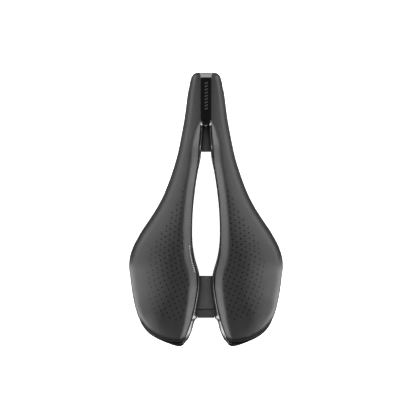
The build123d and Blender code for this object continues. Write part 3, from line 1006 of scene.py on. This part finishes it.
    def skirt(self, top: np.ndarray) -> np.ndarray:
        """Points of the skirt below the silhouette, leaning in a little."""
        _, index = nearest(self.at_o, self.outer)
        last = len(self.outer) - 1
        run = self.outer[np.minimum(index + 2, last)] - self.outer[np.maximum(index - 2, 0)]
        inward = np.stack([run[:, 1], -run[:, 0]], 1) / np.linalg.norm(run, axis=1)[:, None]
        hem = smooth(SKIRT, self.at_o[:, 1] - 4)
        nose = ease((self.at_o[:, 1] - self.lean_from) / self.lean_over)[:, None]
        lean = self.lean[0] + (self.lean[1] - self.lean[0]) * nose
        rows = []
        for share in np.linspace(0, 1, 9)[1:]:
            spot = self.at_o + inward * lean * share**2
            rows.append(np.column_stack([spot, top + (hem - top) * share]))
        return np.stack(rows, 1)

    def perforation(self, plan: np.ndarray) -> np.ndarray:
        """How large the perforations are over plan points: 0 outside their field."""
        d_in, _ = nearest(plan, self.inner[::2])
        x, y = plan[..., 0], plan[..., 1]
        gap = d_in - smooth(BEVEL_WIDTH, y)
        clear = 1.0 + 2.0 * ease((-75 - y) / 20)
        inside = (gap > clear) & (x < smooth(FIELD_EDGE, y)) & (y < 19) & (y > -103 + 0.27 * np.abs(x - 26))
        fade = 1 - 0.5 * ease((x - 34) / 22) - 0.2 * ease((y + 30) / 50)
        return np.where(inside, fade, 0)


@dataclass
class PaddedHalf:
    """Foam and cover of one half, from the nose to the tail."""

    side: Side
    finishes: Finishes
    form: PaddedForm
    across: tuple[float, float] = (4.23, -2.26)
    down: tuple[float, float] = (0.45, -5.05)
    bends: tuple[float, float] = (10.0, 14.3)
    first_bend: tuple[float, float] = (-1.3, 0.35)
    second_bend: tuple[float, float] = (-1.0, 0.44)
    first: tuple[float, float] = (20.45, 18.75)
    left_shift: tuple[float, float] = (1.4, -0.7)
    hole: float = 0.71
    hole_depth: float = 0.85
    least_hole: float = 0.3
    foam_inset: float = 1.3
    foam_drop: float = 1.35

    def mirror(self, grid: np.ndarray) -> np.ndarray:
        """The grid on this half's own side."""
        return grid * np.array([self.side.value, 1, 1])

    def cover(self) -> bpy.types.Object:
        """The perforated skin of this half."""
        grid, holes = self.form.grid, self.form.holes
        rows, columns = grid.shape[:2]
        name = f"padded_cover_{self.side.word}"
        mesh = bpy.data.meshes.new(name)
        faces = grid_faces(rows, columns, False)
        if self.side is Side.LEFT:
            faces = [f[::-1] for f in faces]
        mesh.from_pydata((self.mirror(grid).reshape(-1, 3) * MM).tolist(), [], faces)
        mesh.attributes.new("perforation", "FLOAT", "POINT").data.foreach_set("value", holes.ravel())
        obj = bpy.data.objects.new(name, mesh)
        bpy.context.scene.collection.objects.link(obj)
        mesh.materials.append(self.finishes.cover)
        tidy_mesh(obj, 60, outward=False)
        self.face_up(obj)
        thick = obj.modifiers.new("skin", "SOLIDIFY")
        thick.thickness, thick.offset = SKIN * MM, -1
        baked(obj)
        self.perforate(obj)
        tidy_mesh(obj, 32, outward=False)
        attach(obj, SADDLE)
        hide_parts(f"cover_{self.side.word}")
        return obj

    def face_up(self, obj: bpy.types.Object) -> None:
        """Turn an open skin so that its top faces up."""
        bm = bmesh.new()
        bm.from_mesh(obj.data)
        bmesh.ops.recalc_face_normals(bm, faces=bm.faces)
        lift = sum(f.normal.z * f.calc_area() for f in bm.faces)
        if lift < 0:
            bmesh.ops.reverse_faces(bm, faces=bm.faces)
        bm.to_mesh(obj.data)
        bm.free()

    def perforate(self, obj: bpy.types.Object) -> None:
        """Cut the field of perforations into a closed skin."""
        tree = NodeTree(f"perforations_{self.side.word}")
        radius = tree.size("Hole Radius", self.hole * MM)
        depth = tree.size("Hole Depth", self.hole_depth * MM)
        mirrored = tree.size("Side", float(self.side.value))
        lining = tree.size("Lining", self.finishes.pit, "NodeSocketMaterial")
        columns, lines, before = 24, 34, 6.0
        skin = tree.entry.outputs["Geometry"]
        points = tree.add("GeometryNodePoints", {}, {"Count": columns * lines})
        index = tree.add("GeometryNodeInputIndex", {}, {}).outputs[0]
        line = tree.math("FLOOR", tree.math("DIVIDE", index, float(columns)))
        column = tree.math("SUBTRACT", tree.math("MODULO", index, float(columns)), before)
        bent = [tree.math("MAXIMUM", tree.math("SUBTRACT", line, row), 0.0) for row in self.bends]
        shift = self.left_shift if self.side is Side.LEFT else (0.0, 0.0)
        spot = []
        for k, letter in enumerate("XY"):
            value = tree.size(f"First {letter}", (self.first[k] + shift[k]) * MM)
            steps = (
                (column, f"Step Across {letter}", self.across[k]),
                (line, f"Step Down {letter}", self.down[k]),
                (bent[0], f"First Bend {letter}", self.first_bend[k]),
                (bent[1], f"Second Bend {letter}", self.second_bend[k]),
            )
            for count, name, step in steps:
                value = tree.math("MULTIPLY_ADD", count, tree.size(name, step * MM), value)
            spot.append(value)
        x, y = tree.math("MULTIPLY", spot[0], mirrored), spot[1]
        place = tree.add("ShaderNodeCombineXYZ", {}, {"X": x, "Y": y, "Z": 0.12})
        placed = tree.add(
            "GeometryNodeSetPosition", {}, {"Geometry": points.outputs[0], "Position": place.outputs[0]}
        )
        ray = tree.add(
            "GeometryNodeRaycast",
            {"data_type": "FLOAT"},
            {"Target Geometry": skin, "Ray Direction": (0.0, 0.0, -1.0), "Ray Length": 0.2},
        )
        fade = tree.add("GeometryNodeInputNamedAttribute", {"data_type": "FLOAT"}, {"Name": "perforation"})
        tree.group.links.new(fade.outputs["Attribute"], ray.inputs["Attribute"])
        kept = tree.math("MULTIPLY", ray.outputs["Is Hit"], ray.outputs["Attribute"])
        turn = tree.add(
            "FunctionNodeAlignRotationToVector", {"axis": "Z"}, {"Vector": ray.outputs["Hit Normal"]}
        )
        store = placed.outputs[0]
        for name, kind, value in (
            ("kept", "FLOAT", kept),
            ("spot", "FLOAT_VECTOR", ray.outputs["Hit Position"]),
            ("turn", "QUATERNION", turn.outputs[0]),
        ):
            saved = tree.add(
                "GeometryNodeStoreNamedAttribute", {"data_type": kind}, {"Geometry": store, "Name": name}
            )
            tree.group.links.new(value, saved.inputs["Value"])
            store = saved.outputs[0]
        reads = {}
        for name, kind in (("kept", "FLOAT"), ("spot", "FLOAT_VECTOR"), ("turn", "QUATERNION")):
            read = tree.add("GeometryNodeInputNamedAttribute", {"data_type": kind}, {"Name": name})
            reads[name] = read.outputs[0]
        landed = tree.add("GeometryNodeSetPosition", {}, {"Geometry": store, "Position": reads["spot"]})
        drop = tree.add(
            "GeometryNodeDeleteGeometry",
            {"domain": "POINT"},
            {
                "Geometry": landed.outputs[0],
                "Selection": tree.math("LESS_THAN", reads["kept"], self.least_hole),
            },
        )
        cup = tree.add(
            "GeometryNodeMeshCylinder",
            {"fill_type": "NGON"},
            {"Vertices": 10, "Radius": radius, "Depth": tree.math("MULTIPLY", depth, 2.0)},
        )
        lined = tree.add("GeometryNodeSetMaterial", {}, {"Geometry": cup.outputs["Mesh"], "Material": lining})
        scale = tree.math("ADD", tree.math("MULTIPLY", reads["kept"], 0.55), 0.45)
        wide = tree.add("ShaderNodeCombineXYZ", {}, {"X": scale, "Y": scale, "Z": 1.0})
        cups = tree.add(
            "GeometryNodeInstanceOnPoints",
            {},
            {
                "Points": drop.outputs[0],
                "Instance": lined.outputs[0],
                "Rotation": reads["turn"],
                "Scale": wide.outputs[0],
            },
        )
        real = tree.add("GeometryNodeRealizeInstances", {}, {"Geometry": cups.outputs[0]})
        way = {"operation": "DIFFERENCE", "solver": "MANIFOLD"}
        cut = tree.add("GeometryNodeMeshBoolean", way, {0: skin})
        tree.group.links.new(real.outputs[0], cut.inputs[1])
        tree.close(cut.outputs[0])
        tree.apply(obj)

    def foam(self) -> bpy.types.Object:
        """The foam of this half, inside the skin."""
        inner = self.form.grid[6:-6:3, self.form.top][:, ::2].copy()
        centre = inner.mean(1, keepdims=True)
        sideways = (centre - inner)[..., :2]
        far = np.maximum(np.linalg.norm(sideways, axis=2, keepdims=True), 0.01)
        inner[..., :2] += sideways / far * np.minimum(far, self.foam_inset)
        inner[..., 2] -= self.foam_drop
        low = inner[:, ::-1].copy()
        low[..., 2] = np.minimum(smooth(CROWN, low[..., 1]) - WALL_DEPTH + 1.0, low[..., 2] - 2.0)
        low[..., 2] -= 3.5 * ease((low[..., 0] - smooth(CHANNEL_EDGE, low[..., 1])) / 50)
        sections = self.mirror(np.concatenate([inner, low], 1))
        obj = ring_loft(f"foam_pad_{self.side.word}", sections, self.finishes.foam, 60)
        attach(obj, SADDLE)
        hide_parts(f"foam_{self.side.word}")
        return obj


# ---------------------------------------------------------------------------- trim
@dataclass
class NoseStrip:
    """Glossy strip along the nose, pointed at its rear and rolled over the front."""

    finishes: Finishes
    half_width: float = 5.05
    point: float = 79.0
    shoulder: float = 84.4
    roll: float = 6.5
    dome: float = 0.12
    # Where the light grey painted reflection starts on the roll, and how far down the front it reaches.
    painted_reflection_start: float = 125.0
    painted_reflection_foot: float = 27.0
    edge: Sequence[tuple[float, float]] = ((1.0, -3.0), (1.0, -0.14), (0.995, -0.05), (0.98, 0), (0.9, 0))
    facet_thickness: float = 1.2
    foot: float = 19.5

    def path(self) -> np.ndarray:
        """Middle line of the strip's top: y, z, and the direction its surface faces."""
        turn = NOSE_Y - self.roll
        flat = np.linspace(self.point, turn, 60)
        rows = [(y, float(smooth(CROWN, y)) - 0.05, 0.0) for y in flat]
        top = rows[-1][1]
        for a in np.linspace(0, math.pi / 2, 22)[1:]:
            rows.append((turn + self.roll * math.sin(a), top - self.roll * (1 - math.cos(a)), a))
        for z in np.linspace(top - self.roll - 0.8, self.foot, 9):
            rows.append((NOSE_Y, z, math.pi / 2))
        return np.array(rows)

    def build(self) -> bpy.types.Object:
        """Build the strip."""
        top = [(x, 0.0) for x in np.linspace(0.7, -0.7, 9)]
        profile = np.array([*self.edge, *top, *[(-x, z) for x, z in self.edge[::-1]]])
        sections = []
        for y, z, a in self.path():
            half = self.half_width * np.clip((y - self.point) / (self.shoulder - self.point), 0.02, 1)
            rise = profile[:, 1] + self.dome * (1 - profile[:, 0] ** 2) * (profile[:, 1] > -0.2)
            sections.append(
                np.stack([profile[:, 0] * half, y + rise * math.sin(a), z + rise * math.cos(a)], 1)
            )
        obj = ring_loft("nose_inlay", np.array(sections), self.finishes.gloss, 50)
        # Painted reflection: the rolled front and the face below it take the light grey material.
        obj.data.materials.append(self.finishes.plate)
        for face in obj.data.polygons:
            middle = face.center / MM
            face.material_index = int(middle.y > self.painted_reflection_start and middle.z > self.painted_reflection_foot)
        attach(obj, SADDLE)
        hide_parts("nose_strip")
        return obj

    def corners(self) -> bpy.types.Object:
        """The two bright facets beside the strip's point."""
        faces, points = [], []
        top = float(smooth(CROWN, 82.0))
        upper = [(5.1, 85.6, 0.3), (5.1, 80.2, 0.3), (2.3, 79.9, 2.1), (2.1, 81.9, 2.2)]
        for side in Side:
            first = len(points)
            for drop in (0.0, self.facet_thickness):
                points += [(x * side.value, y, top - sunk - drop) for x, y, sunk in upper]
            faces += [tuple(first + k for k in ring) for ring in ((0, 1, 2, 3), (7, 6, 5, 4))]
            for k in range(4):
                after = (k + 1) % 4
                faces.append((first + k, first + after, first + 4 + after, first + 4 + k))
        obj = piece_from("nose_inlay_corners", np.array(points), faces, self.finishes.lip, 30)
        soften = obj.modifiers.new("soft_edges", "BEVEL")
        soften.width, soften.segments = 0.15 * MM, 2
        baked(obj)
        tidy_mesh(obj, 30)
        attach(obj, SADDLE)
        return obj


@dataclass
class TailBumper:
    """Glossy bumper round the rear edge of one tail."""

    side: Side
    finishes: Finishes
    clearance: float = 0.15
    tops: tuple[float, float] = (44.0, 38.6)
    feet: tuple[float, float] = (33.6, 31.0)
    lean: float = 0.7  # slope of the top towards the side of the tail
    lean_from: float = 36.0
    lean_over: float = 8.0

    def build(self) -> bpy.types.Object:
        """Build the bumper."""
        count = 110
        outer = smooth_run(BUMPER_EDGE, count)
        inner = smooth_run([(21.4, -120.6), *SILHOUETTE[-3:-12:-1], (63.4, -99.6)], 500)
        shape = superellipse(28, 2.6)
        sections = []
        for i, p in enumerate(outer):
            share = i / (count - 1)
            near = inner[((inner - p) ** 2).sum(1).argmin()]
            gap = max(float(np.linalg.norm(p - near)), 0.4)
            across = (p - near) / gap
            near = near + across * self.clearance
            top = self.tops[0] + (self.tops[1] - self.tops[0]) * share
            low = self.feet[0] + (self.feet[1] - self.feet[0]) * share
            taper = math.sqrt(min(1.0, 0.12 + share * 22, 0.05 + (1 - share) * 12))
            half = (gap - self.clearance) / 2
            middle = near + across * half
            points = middle[None] + shape[:, :1] * half * across[None]
            z = (top + low) / 2 + shape[:, 1] * (top - low) / 2 * taper
            lean = self.lean * float(ease((p[0] - self.lean_from) / self.lean_over))
            z = z - lean * shape[:, 0] * half
            sections.append(np.column_stack([points, z]))
        grid = np.array(sections) * np.array([self.side.value, 1, 1])
        obj = ring_loft(f"tail_bumper_{self.side.word}", grid, self.finishes.gloss, 50)
        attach(obj, SADDLE)
        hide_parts(f"tail_guard_{self.side.word}")
        return obj


@dataclass
class ShellRim:
    """Raised lip of the base along one side of the relief channel, sloping to the channel."""

    side: Side
    finishes: Finishes
    front: float = 85.4
    rear: float = -124.6
    slope: float = 0.62
    gap: float = 0.9
    depth: float = 3.4
    below_crown: float = 12.4
    nose_rise: float = 3.6  # the lip stands this much higher ahead of the opening
    tail_fall: float = 1.5
    least_width: float = 0.35
    most_rise: float = 2.4

    def build(self) -> bpy.types.Object:
        """Build the lip."""
        ys = np.linspace(self.front, self.rear, 420)
        low = smooth(RIM_EDGE, ys)
        high = smooth(CHANNEL_EDGE, ys) - self.gap
        end = high[np.abs(ys - TAIL_Y).argmin()]
        high = np.where(ys < TAIL_Y, end + (TAIL_Y - ys) * 0.25, high)
        high = np.maximum(high, low + self.least_width)
        width = high - low
        z = smooth(CROWN, ys) - self.below_crown + self.nose_rise * ease((ys - 48) / 14)
        z = z - self.tail_fall * ease((-118 - ys) / 6)
        rise = np.minimum(self.slope * width + 0.1, self.most_rise)
        t = np.array([0.0, 0.06, 0.16, 0.35, 0.55, 0.75, 0.92, 1.0, 1.0])
        up = np.array([-0.28, -0.1, 0.12, 0.36, 0.58, 0.80, 0.96, 0.97, 0.6])
        x = low[:, None] + width[:, None] * t
        top = z[:, None] - 0.3 + rise[:, None] * up
        foot = np.stack([z - self.depth, z - self.depth], 1)
        x = np.concatenate([low[:, None], x, high[:, None]], 1)
        heights = np.concatenate([foot[:, :1], top, foot[:, 1:]], 1)
        grid = np.stack([x * self.side.value, np.broadcast_to(ys[:, None], x.shape), heights], 2)
        obj = ring_loft(f"shell_rim_{self.side.word}", grid, self.finishes.lip, 50)
        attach(obj, SADDLE)
        return obj


@dataclass
class BridgePanel:
    """Matte panel inset between the rims on one bridge of the base."""

    name: str
    finishes: Finishes
    front: float
    rear: float
    groove: float
    sink: float = 13.6
    depth: float = 0.9

    def build(self) -> bpy.types.Object:
        """Build the panel."""
        ys = np.linspace(self.front, self.rear, 70)
        edge = smooth(RIM_EDGE, ys)
        inset = np.array([-0.4, -0.4, self.groove, self.groove + 0.15, self.groove + 0.4])
        level = np.array([-2.0, -self.depth, -self.depth, -0.12, 0.0])
        half = edge[:, None] - inset
        x = np.concatenate([half, -half[:, ::-1]], 1)
        drop = np.concatenate([level, level[::-1]])
        away = np.minimum(ys[0] - ys, ys - ys[-1])
        soften = 0.35 * (1 - ease(away / 0.5))
        top = smooth(CROWN, ys) - self.sink - soften
        z = top[:, None] + drop
        grid = np.stack([x, np.broadcast_to(ys[:, None], x.shape), z], 2)
        obj = ring_loft(self.name, grid, self.finishes.panel, 35)
        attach(obj, SADDLE)
        return obj


@dataclass
class PrintedRow:
    """A row of small plain printed bars along a path."""

    name: str
    path: Sequence[Sequence[float]]
    finish: bpy.types.Material
    slot: str
    count: int
    bar: tuple[float, float, float]
    turn: float = 0.0

    def build(self) -> bpy.types.Object:
        """Build the bars."""
        run = smooth_run(self.path, 60)
        mesh = bpy.data.meshes.new(self.name)
        mesh.from_pydata((run * MM).tolist(), [(i, i + 1) for i in range(len(run) - 1)], [])
        obj = bpy.data.objects.new(self.name, mesh)
        bpy.context.scene.collection.objects.link(obj)
        tree = NodeTree(self.name)
        count = tree.size("Bars", self.count, "NodeSocketInt")
        size = tree.size("Bar Size", tuple(v * MM for v in self.bar), "NodeSocketVector")
        turn = tree.size("Bar Turn", math.radians(self.turn))
        ink = tree.size("Ink", self.finish, "NodeSocketMaterial")
        curve = tree.add("GeometryNodeMeshToCurve", {}, {"Mesh": tree.entry.outputs["Geometry"]})
        spots = tree.add("GeometryNodeResampleCurve", {}, {"Curve": curve.outputs[0], "Count": count})
        tangent = tree.add("GeometryNodeInputTangent", {}, {})
        facing = tree.add("FunctionNodeAlignRotationToVector", {"axis": "Y"}, {"Vector": tangent.outputs[0]})
        spin = tree.add("ShaderNodeCombineXYZ", {}, {"Z": turn})
        turned = tree.add(
            "FunctionNodeRotateRotation",
            {"rotation_space": "LOCAL"},
            {"Rotation": facing.outputs[0], "Rotate By": spin.outputs[0]},
        )
        bar = tree.add("GeometryNodeMeshCube", {}, {"Size": size})
        inked = tree.add("GeometryNodeSetMaterial", {}, {"Geometry": bar.outputs["Mesh"], "Material": ink})
        bars = tree.add(
            "GeometryNodeInstanceOnPoints",
            {},
            {"Points": spots.outputs[0], "Instance": inked.outputs[0], "Rotation": turned.outputs[0]},
        )
        real = tree.add("GeometryNodeRealizeInstances", {}, {"Geometry": bars.outputs[0]})
        tree.close(real.outputs[0])
        tree.apply(obj)
        tidy_mesh(obj, 30)
        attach(obj, SADDLE)
        return obj


def nose_bars(finishes: Finishes) -> PrintedRow:
    """Slanted bars along the nose strip."""
    path = [(0.3, y, float(smooth(CROWN, y)) + 0.08) for y in np.linspace(95.6, 119.6, 8)]
    return PrintedRow("nose_bars", path, finishes.grey_ink, "gloss_trim", 9, (3.2, 1.2, 0.06), 24)


def bevel_dashes(finishes: Finishes, form: PaddedForm) -> PrintedRow:
    """Pale dashes along the left bevel, beside the opening."""
    ys = np.linspace(-33, -57, 7)
    beside = np.stack([smooth(CHANNEL_EDGE, ys) + 1.5, ys], 1)
    path = np.column_stack([-beside[:, 0], ys, form.height(beside) + 0.05])
    return PrintedRow("bevel_dashes", path, finishes.pale_ink, "cover", 13, (0.95, 1.25, 0.12))


@dataclass
class MountCap:
    """Removable cover of the accessory mount: a tapered cap on a tongue."""

    finishes: Finishes
    half: float = 9.1
    rear_half: float = 7.9
    rounding: float = 0.9
    front: float = -92.2
    straight: float = 3.4  # length of the sides before they taper
    tongue_half: float = 4.6
    tongue_rise: float = 2.1  # half its thickness
    tongue_middle: float = 27.2

    def build(self) -> bpy.types.Object:
        """Build the cap and its tongue as one moulding."""
        low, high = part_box("accessory_mount_cover")
        rear, top, foot = low.y / MM, high.z / MM, low.z / MM
        bend = self.front - self.straight
        plan = [(-self.half, self.front), (self.half, self.front), (self.half, bend), (self.rear_half, rear),
                (-self.rear_half, rear), (-self.half, bend)]  # fmt: skip
        bm = bmesh.new()
        lower = [bm.verts.new((x * MM, y * MM, foot * MM)) for x, y in plan]
        upper = [bm.verts.new((x * MM, y * MM, (top - 0.35 - 0.05 * (y - rear)) * MM)) for x, y in plan]
        bm.faces.new(lower[::-1])
        bm.faces.new(upper)
        for i in range(len(plan)):
            j = (i + 1) % len(plan)
            bm.faces.new((lower[i], lower[j], upper[j], upper[i]))
        bmesh.ops.recalc_face_normals(bm, faces=bm.faces)
        bmesh.ops.bevel(
            bm, geom=list(bm.edges), offset=self.rounding * MM, segments=4, profile=0.6, affect="EDGES"
        )
        ring = ((-1, -1), (1, -1), (1, 1), (-1, 1))
        ends = []
        for y in (self.front - 1, high.y / MM):
            for across, up in ring:
                z = self.tongue_middle + up * self.tongue_rise
                ends.append(bm.verts.new((across * self.tongue_half * MM, y * MM, z * MM)))
        a, b = ends[:4], ends[4:]
        bm.faces.new(a[::-1])
        bm.faces.new(b)
        for i in range(4):
            j = (i + 1) % 4
            bm.faces.new((a[i], a[j], b[j], b[i]))
        mesh = bpy.data.meshes.new("mount_cap")
        bm.to_mesh(mesh)
        bm.free()
        obj = bpy.data.objects.new("mount_cap", mesh)
        bpy.context.scene.collection.objects.link(obj)
        mesh.materials.append(self.finishes.matte)
        tidy_mesh(obj, 30)
        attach(obj, "accessory_cover")
        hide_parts("accessory_mount_cover")
        return obj


@dataclass
class Hardware:
    """The carried-over base, rails, clips and screws."""

    finishes: Finishes

    def dress(self) -> None:
        """Give each carried-over node its finish."""
        f = self.finishes
        wanted = {
            "base_shell": f.shell,
            "gel_insert_right": f.gel,
            "gel_insert_left": f.gel,
            "rail_right": f.rail,
            "rail_left": f.rail,
            "nose_rail_clip": f.matte,
            "rear_rail_clip_right": f.matte,
            "rear_rail_clip_left": f.matte,
            "accessory_mount": f.matte,
            "nose_clip_screws": f.steel,
            "rear_clip_screws_right": f.steel,
            "rear_clip_screws_left": f.steel,
            "accessory_mount_screws": f.steel,
        }
        for name, material in wanted.items():
            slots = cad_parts[name].material_slots
            for s in slots:
                s.material = material
            log.info("dressed %s", name)


@dataclass
class Studio:
    """Plain white floor, two long low side lights, dark surroundings overhead and the camera above."""

    finishes: Finishes
    field_mm: float = 391.0
    centre: tuple[float, float] = (1.9, 2.7)
    lens: float = 110.0
    focus_height: float = 34.0
    light_distance: float = 1.25
    light_elevation: float = 18.0
    light_size: tuple[float, float] = (0.6, 3.4)
    light_power: float = 36.4
    light_back: float = 0.3
    sky_low: float = 0.16
    sky_high: float = 0.015
    sky_below: float = 1.4
    side_glow: float = 0.8
    front_glow: float = 0.35
    corner_glow: float = 3.0
    floor_half: float = 4.0
    floor_gap: float = 0.0005

    def build(self) -> None:
        """Build the floor, the lights, the surroundings and the camera."""
        self.floor()
        for side in Side:
            self.light(side)
        self.surroundings()
        self.camera()

    def floor(self) -> None:
        """A large white sheet under the rails."""
        z = CAD_BOX[0].z - self.floor_gap
        mesh = bpy.data.meshes.new("floor")
        r = self.floor_half
        mesh.from_pydata([(-r, -r, z), (r, -r, z), (r, r, z), (-r, r, z)], [], [(0, 1, 2, 3)])
        obj = bpy.data.objects.new("floor", mesh)
        bpy.context.scene.collection.objects.link(obj)
        mesh.materials.append(self.finishes.floor)
        obj.visible_diffuse = False
        obj.visible_glossy = False

    def light(self, side: Side) -> None:
        """A soft rectangular light at one side, facing the saddle."""
        name = f"side_light_{side.word}"
        data = bpy.data.lights.new(name, "AREA")
        data.shape = "RECTANGLE"
        data.size, data.size_y = self.light_size
        data.energy = self.light_power
        obj = bpy.data.objects.new(name, data)
        bpy.context.scene.collection.objects.link(obj)
        a = math.radians(self.light_elevation)
        away = Vector((side.value * math.cos(a), 0, math.sin(a)))
        obj.location = away * self.light_distance - Vector((0, self.light_back, 0))
        obj.rotation_mode = "QUATERNION"
        obj.rotation_quaternion = away.to_track_quat("Z", "Y")

    def surroundings(self) -> None:
        """Surroundings: dark overhead, grey at the sides and in front, bright at the front corners."""
        world = bpy.data.worlds.new("studio_surroundings")
        bpy.context.scene.world = world
        world.use_nodes = True
        sky = ShaderTree(world.node_tree, "Generated")
        up = sky.axis("Z")
        glow = up.ramp(0.1, 0.9, self.sky_low, self.sky_high) * up.ramp(-0.3, 0.05, self.sky_below, 1.0)
        aside = abs(sky.axis("X")).ramp(0.12, 0.9, 0.0, self.side_glow) * up.ramp(-0.1, 0.1)
        ahead = sky.axis("Y").ramp(0.1, 0.9, 0.0, self.front_glow) * up.ramp(-0.1, 0.1)
        corner = abs(sky.axis("X")).ramp(0.25, 0.6) * sky.axis("Y").ramp(0.1, 0.5, 0.0, self.corner_glow)
        strength = glow + aside + ahead + corner * up.ramp(-0.1, 0.1)
        back = sky.node("ShaderNodeBackground", {}, {"Color": (1, 1, 1, 1), "Strength": strength})
        sky.node("ShaderNodeOutputWorld", {}, {"Surface": back.outputs[0]})

    def camera(self) -> None:
        """The camera, straight above, with the nose up."""
        data = bpy.data.cameras.new("camera")
        data.lens = self.lens
        data.sensor_width = 36.0
        data.clip_end = 20.0
        distance = self.field_mm * MM / data.sensor_width * data.lens
        obj = bpy.data.objects.new("camera", data)
        bpy.context.scene.collection.objects.link(obj)
        obj.location = (self.centre[0] * MM, self.centre[1] * MM, self.focus_height * MM + distance)
        bpy.context.scene.camera = obj
        bpy.context.scene.view_settings.view_transform = "Standard"


def main() -> None:
    """Build every sub-assembly in order."""
    logging.basicConfig(level=logging.INFO, format="%(name)s: %(message)s")
    finishes = Finishes.mixed()
    form = PaddedForm()
    for side in Side:
        half = PaddedHalf(side, finishes, form)
        foam = half.foam()
        cover = half.cover()
        for piece in (foam, cover):
            log.info("%s %d faces", piece.name, len(piece.data.polygons))
    strip = NoseStrip(finishes)
    trim = [strip.build(), strip.corners()]
    for side in Side:
        trim.append(TailBumper(side, finishes).build())
        trim.append(ShellRim(side, finishes).build())
    trim.append(BridgePanel("rear_bridge_panel", finishes, -61.4, -92.1, 0.8).build())
    trim.append(BridgePanel("front_bridge_panel", finishes, 84.5, 56.2, 0.3).build())
    trim.append(MountCap(finishes).build())
    trim.append(nose_bars(finishes).build())
    trim.append(bevel_dashes(finishes, form).build())
    for piece in trim:
        log.info("%s %d faces", piece.name, len(piece.data.polygons))
    Hardware(finishes).dress()
    Studio(finishes).build()


if __name__ == "__main__":
    main()
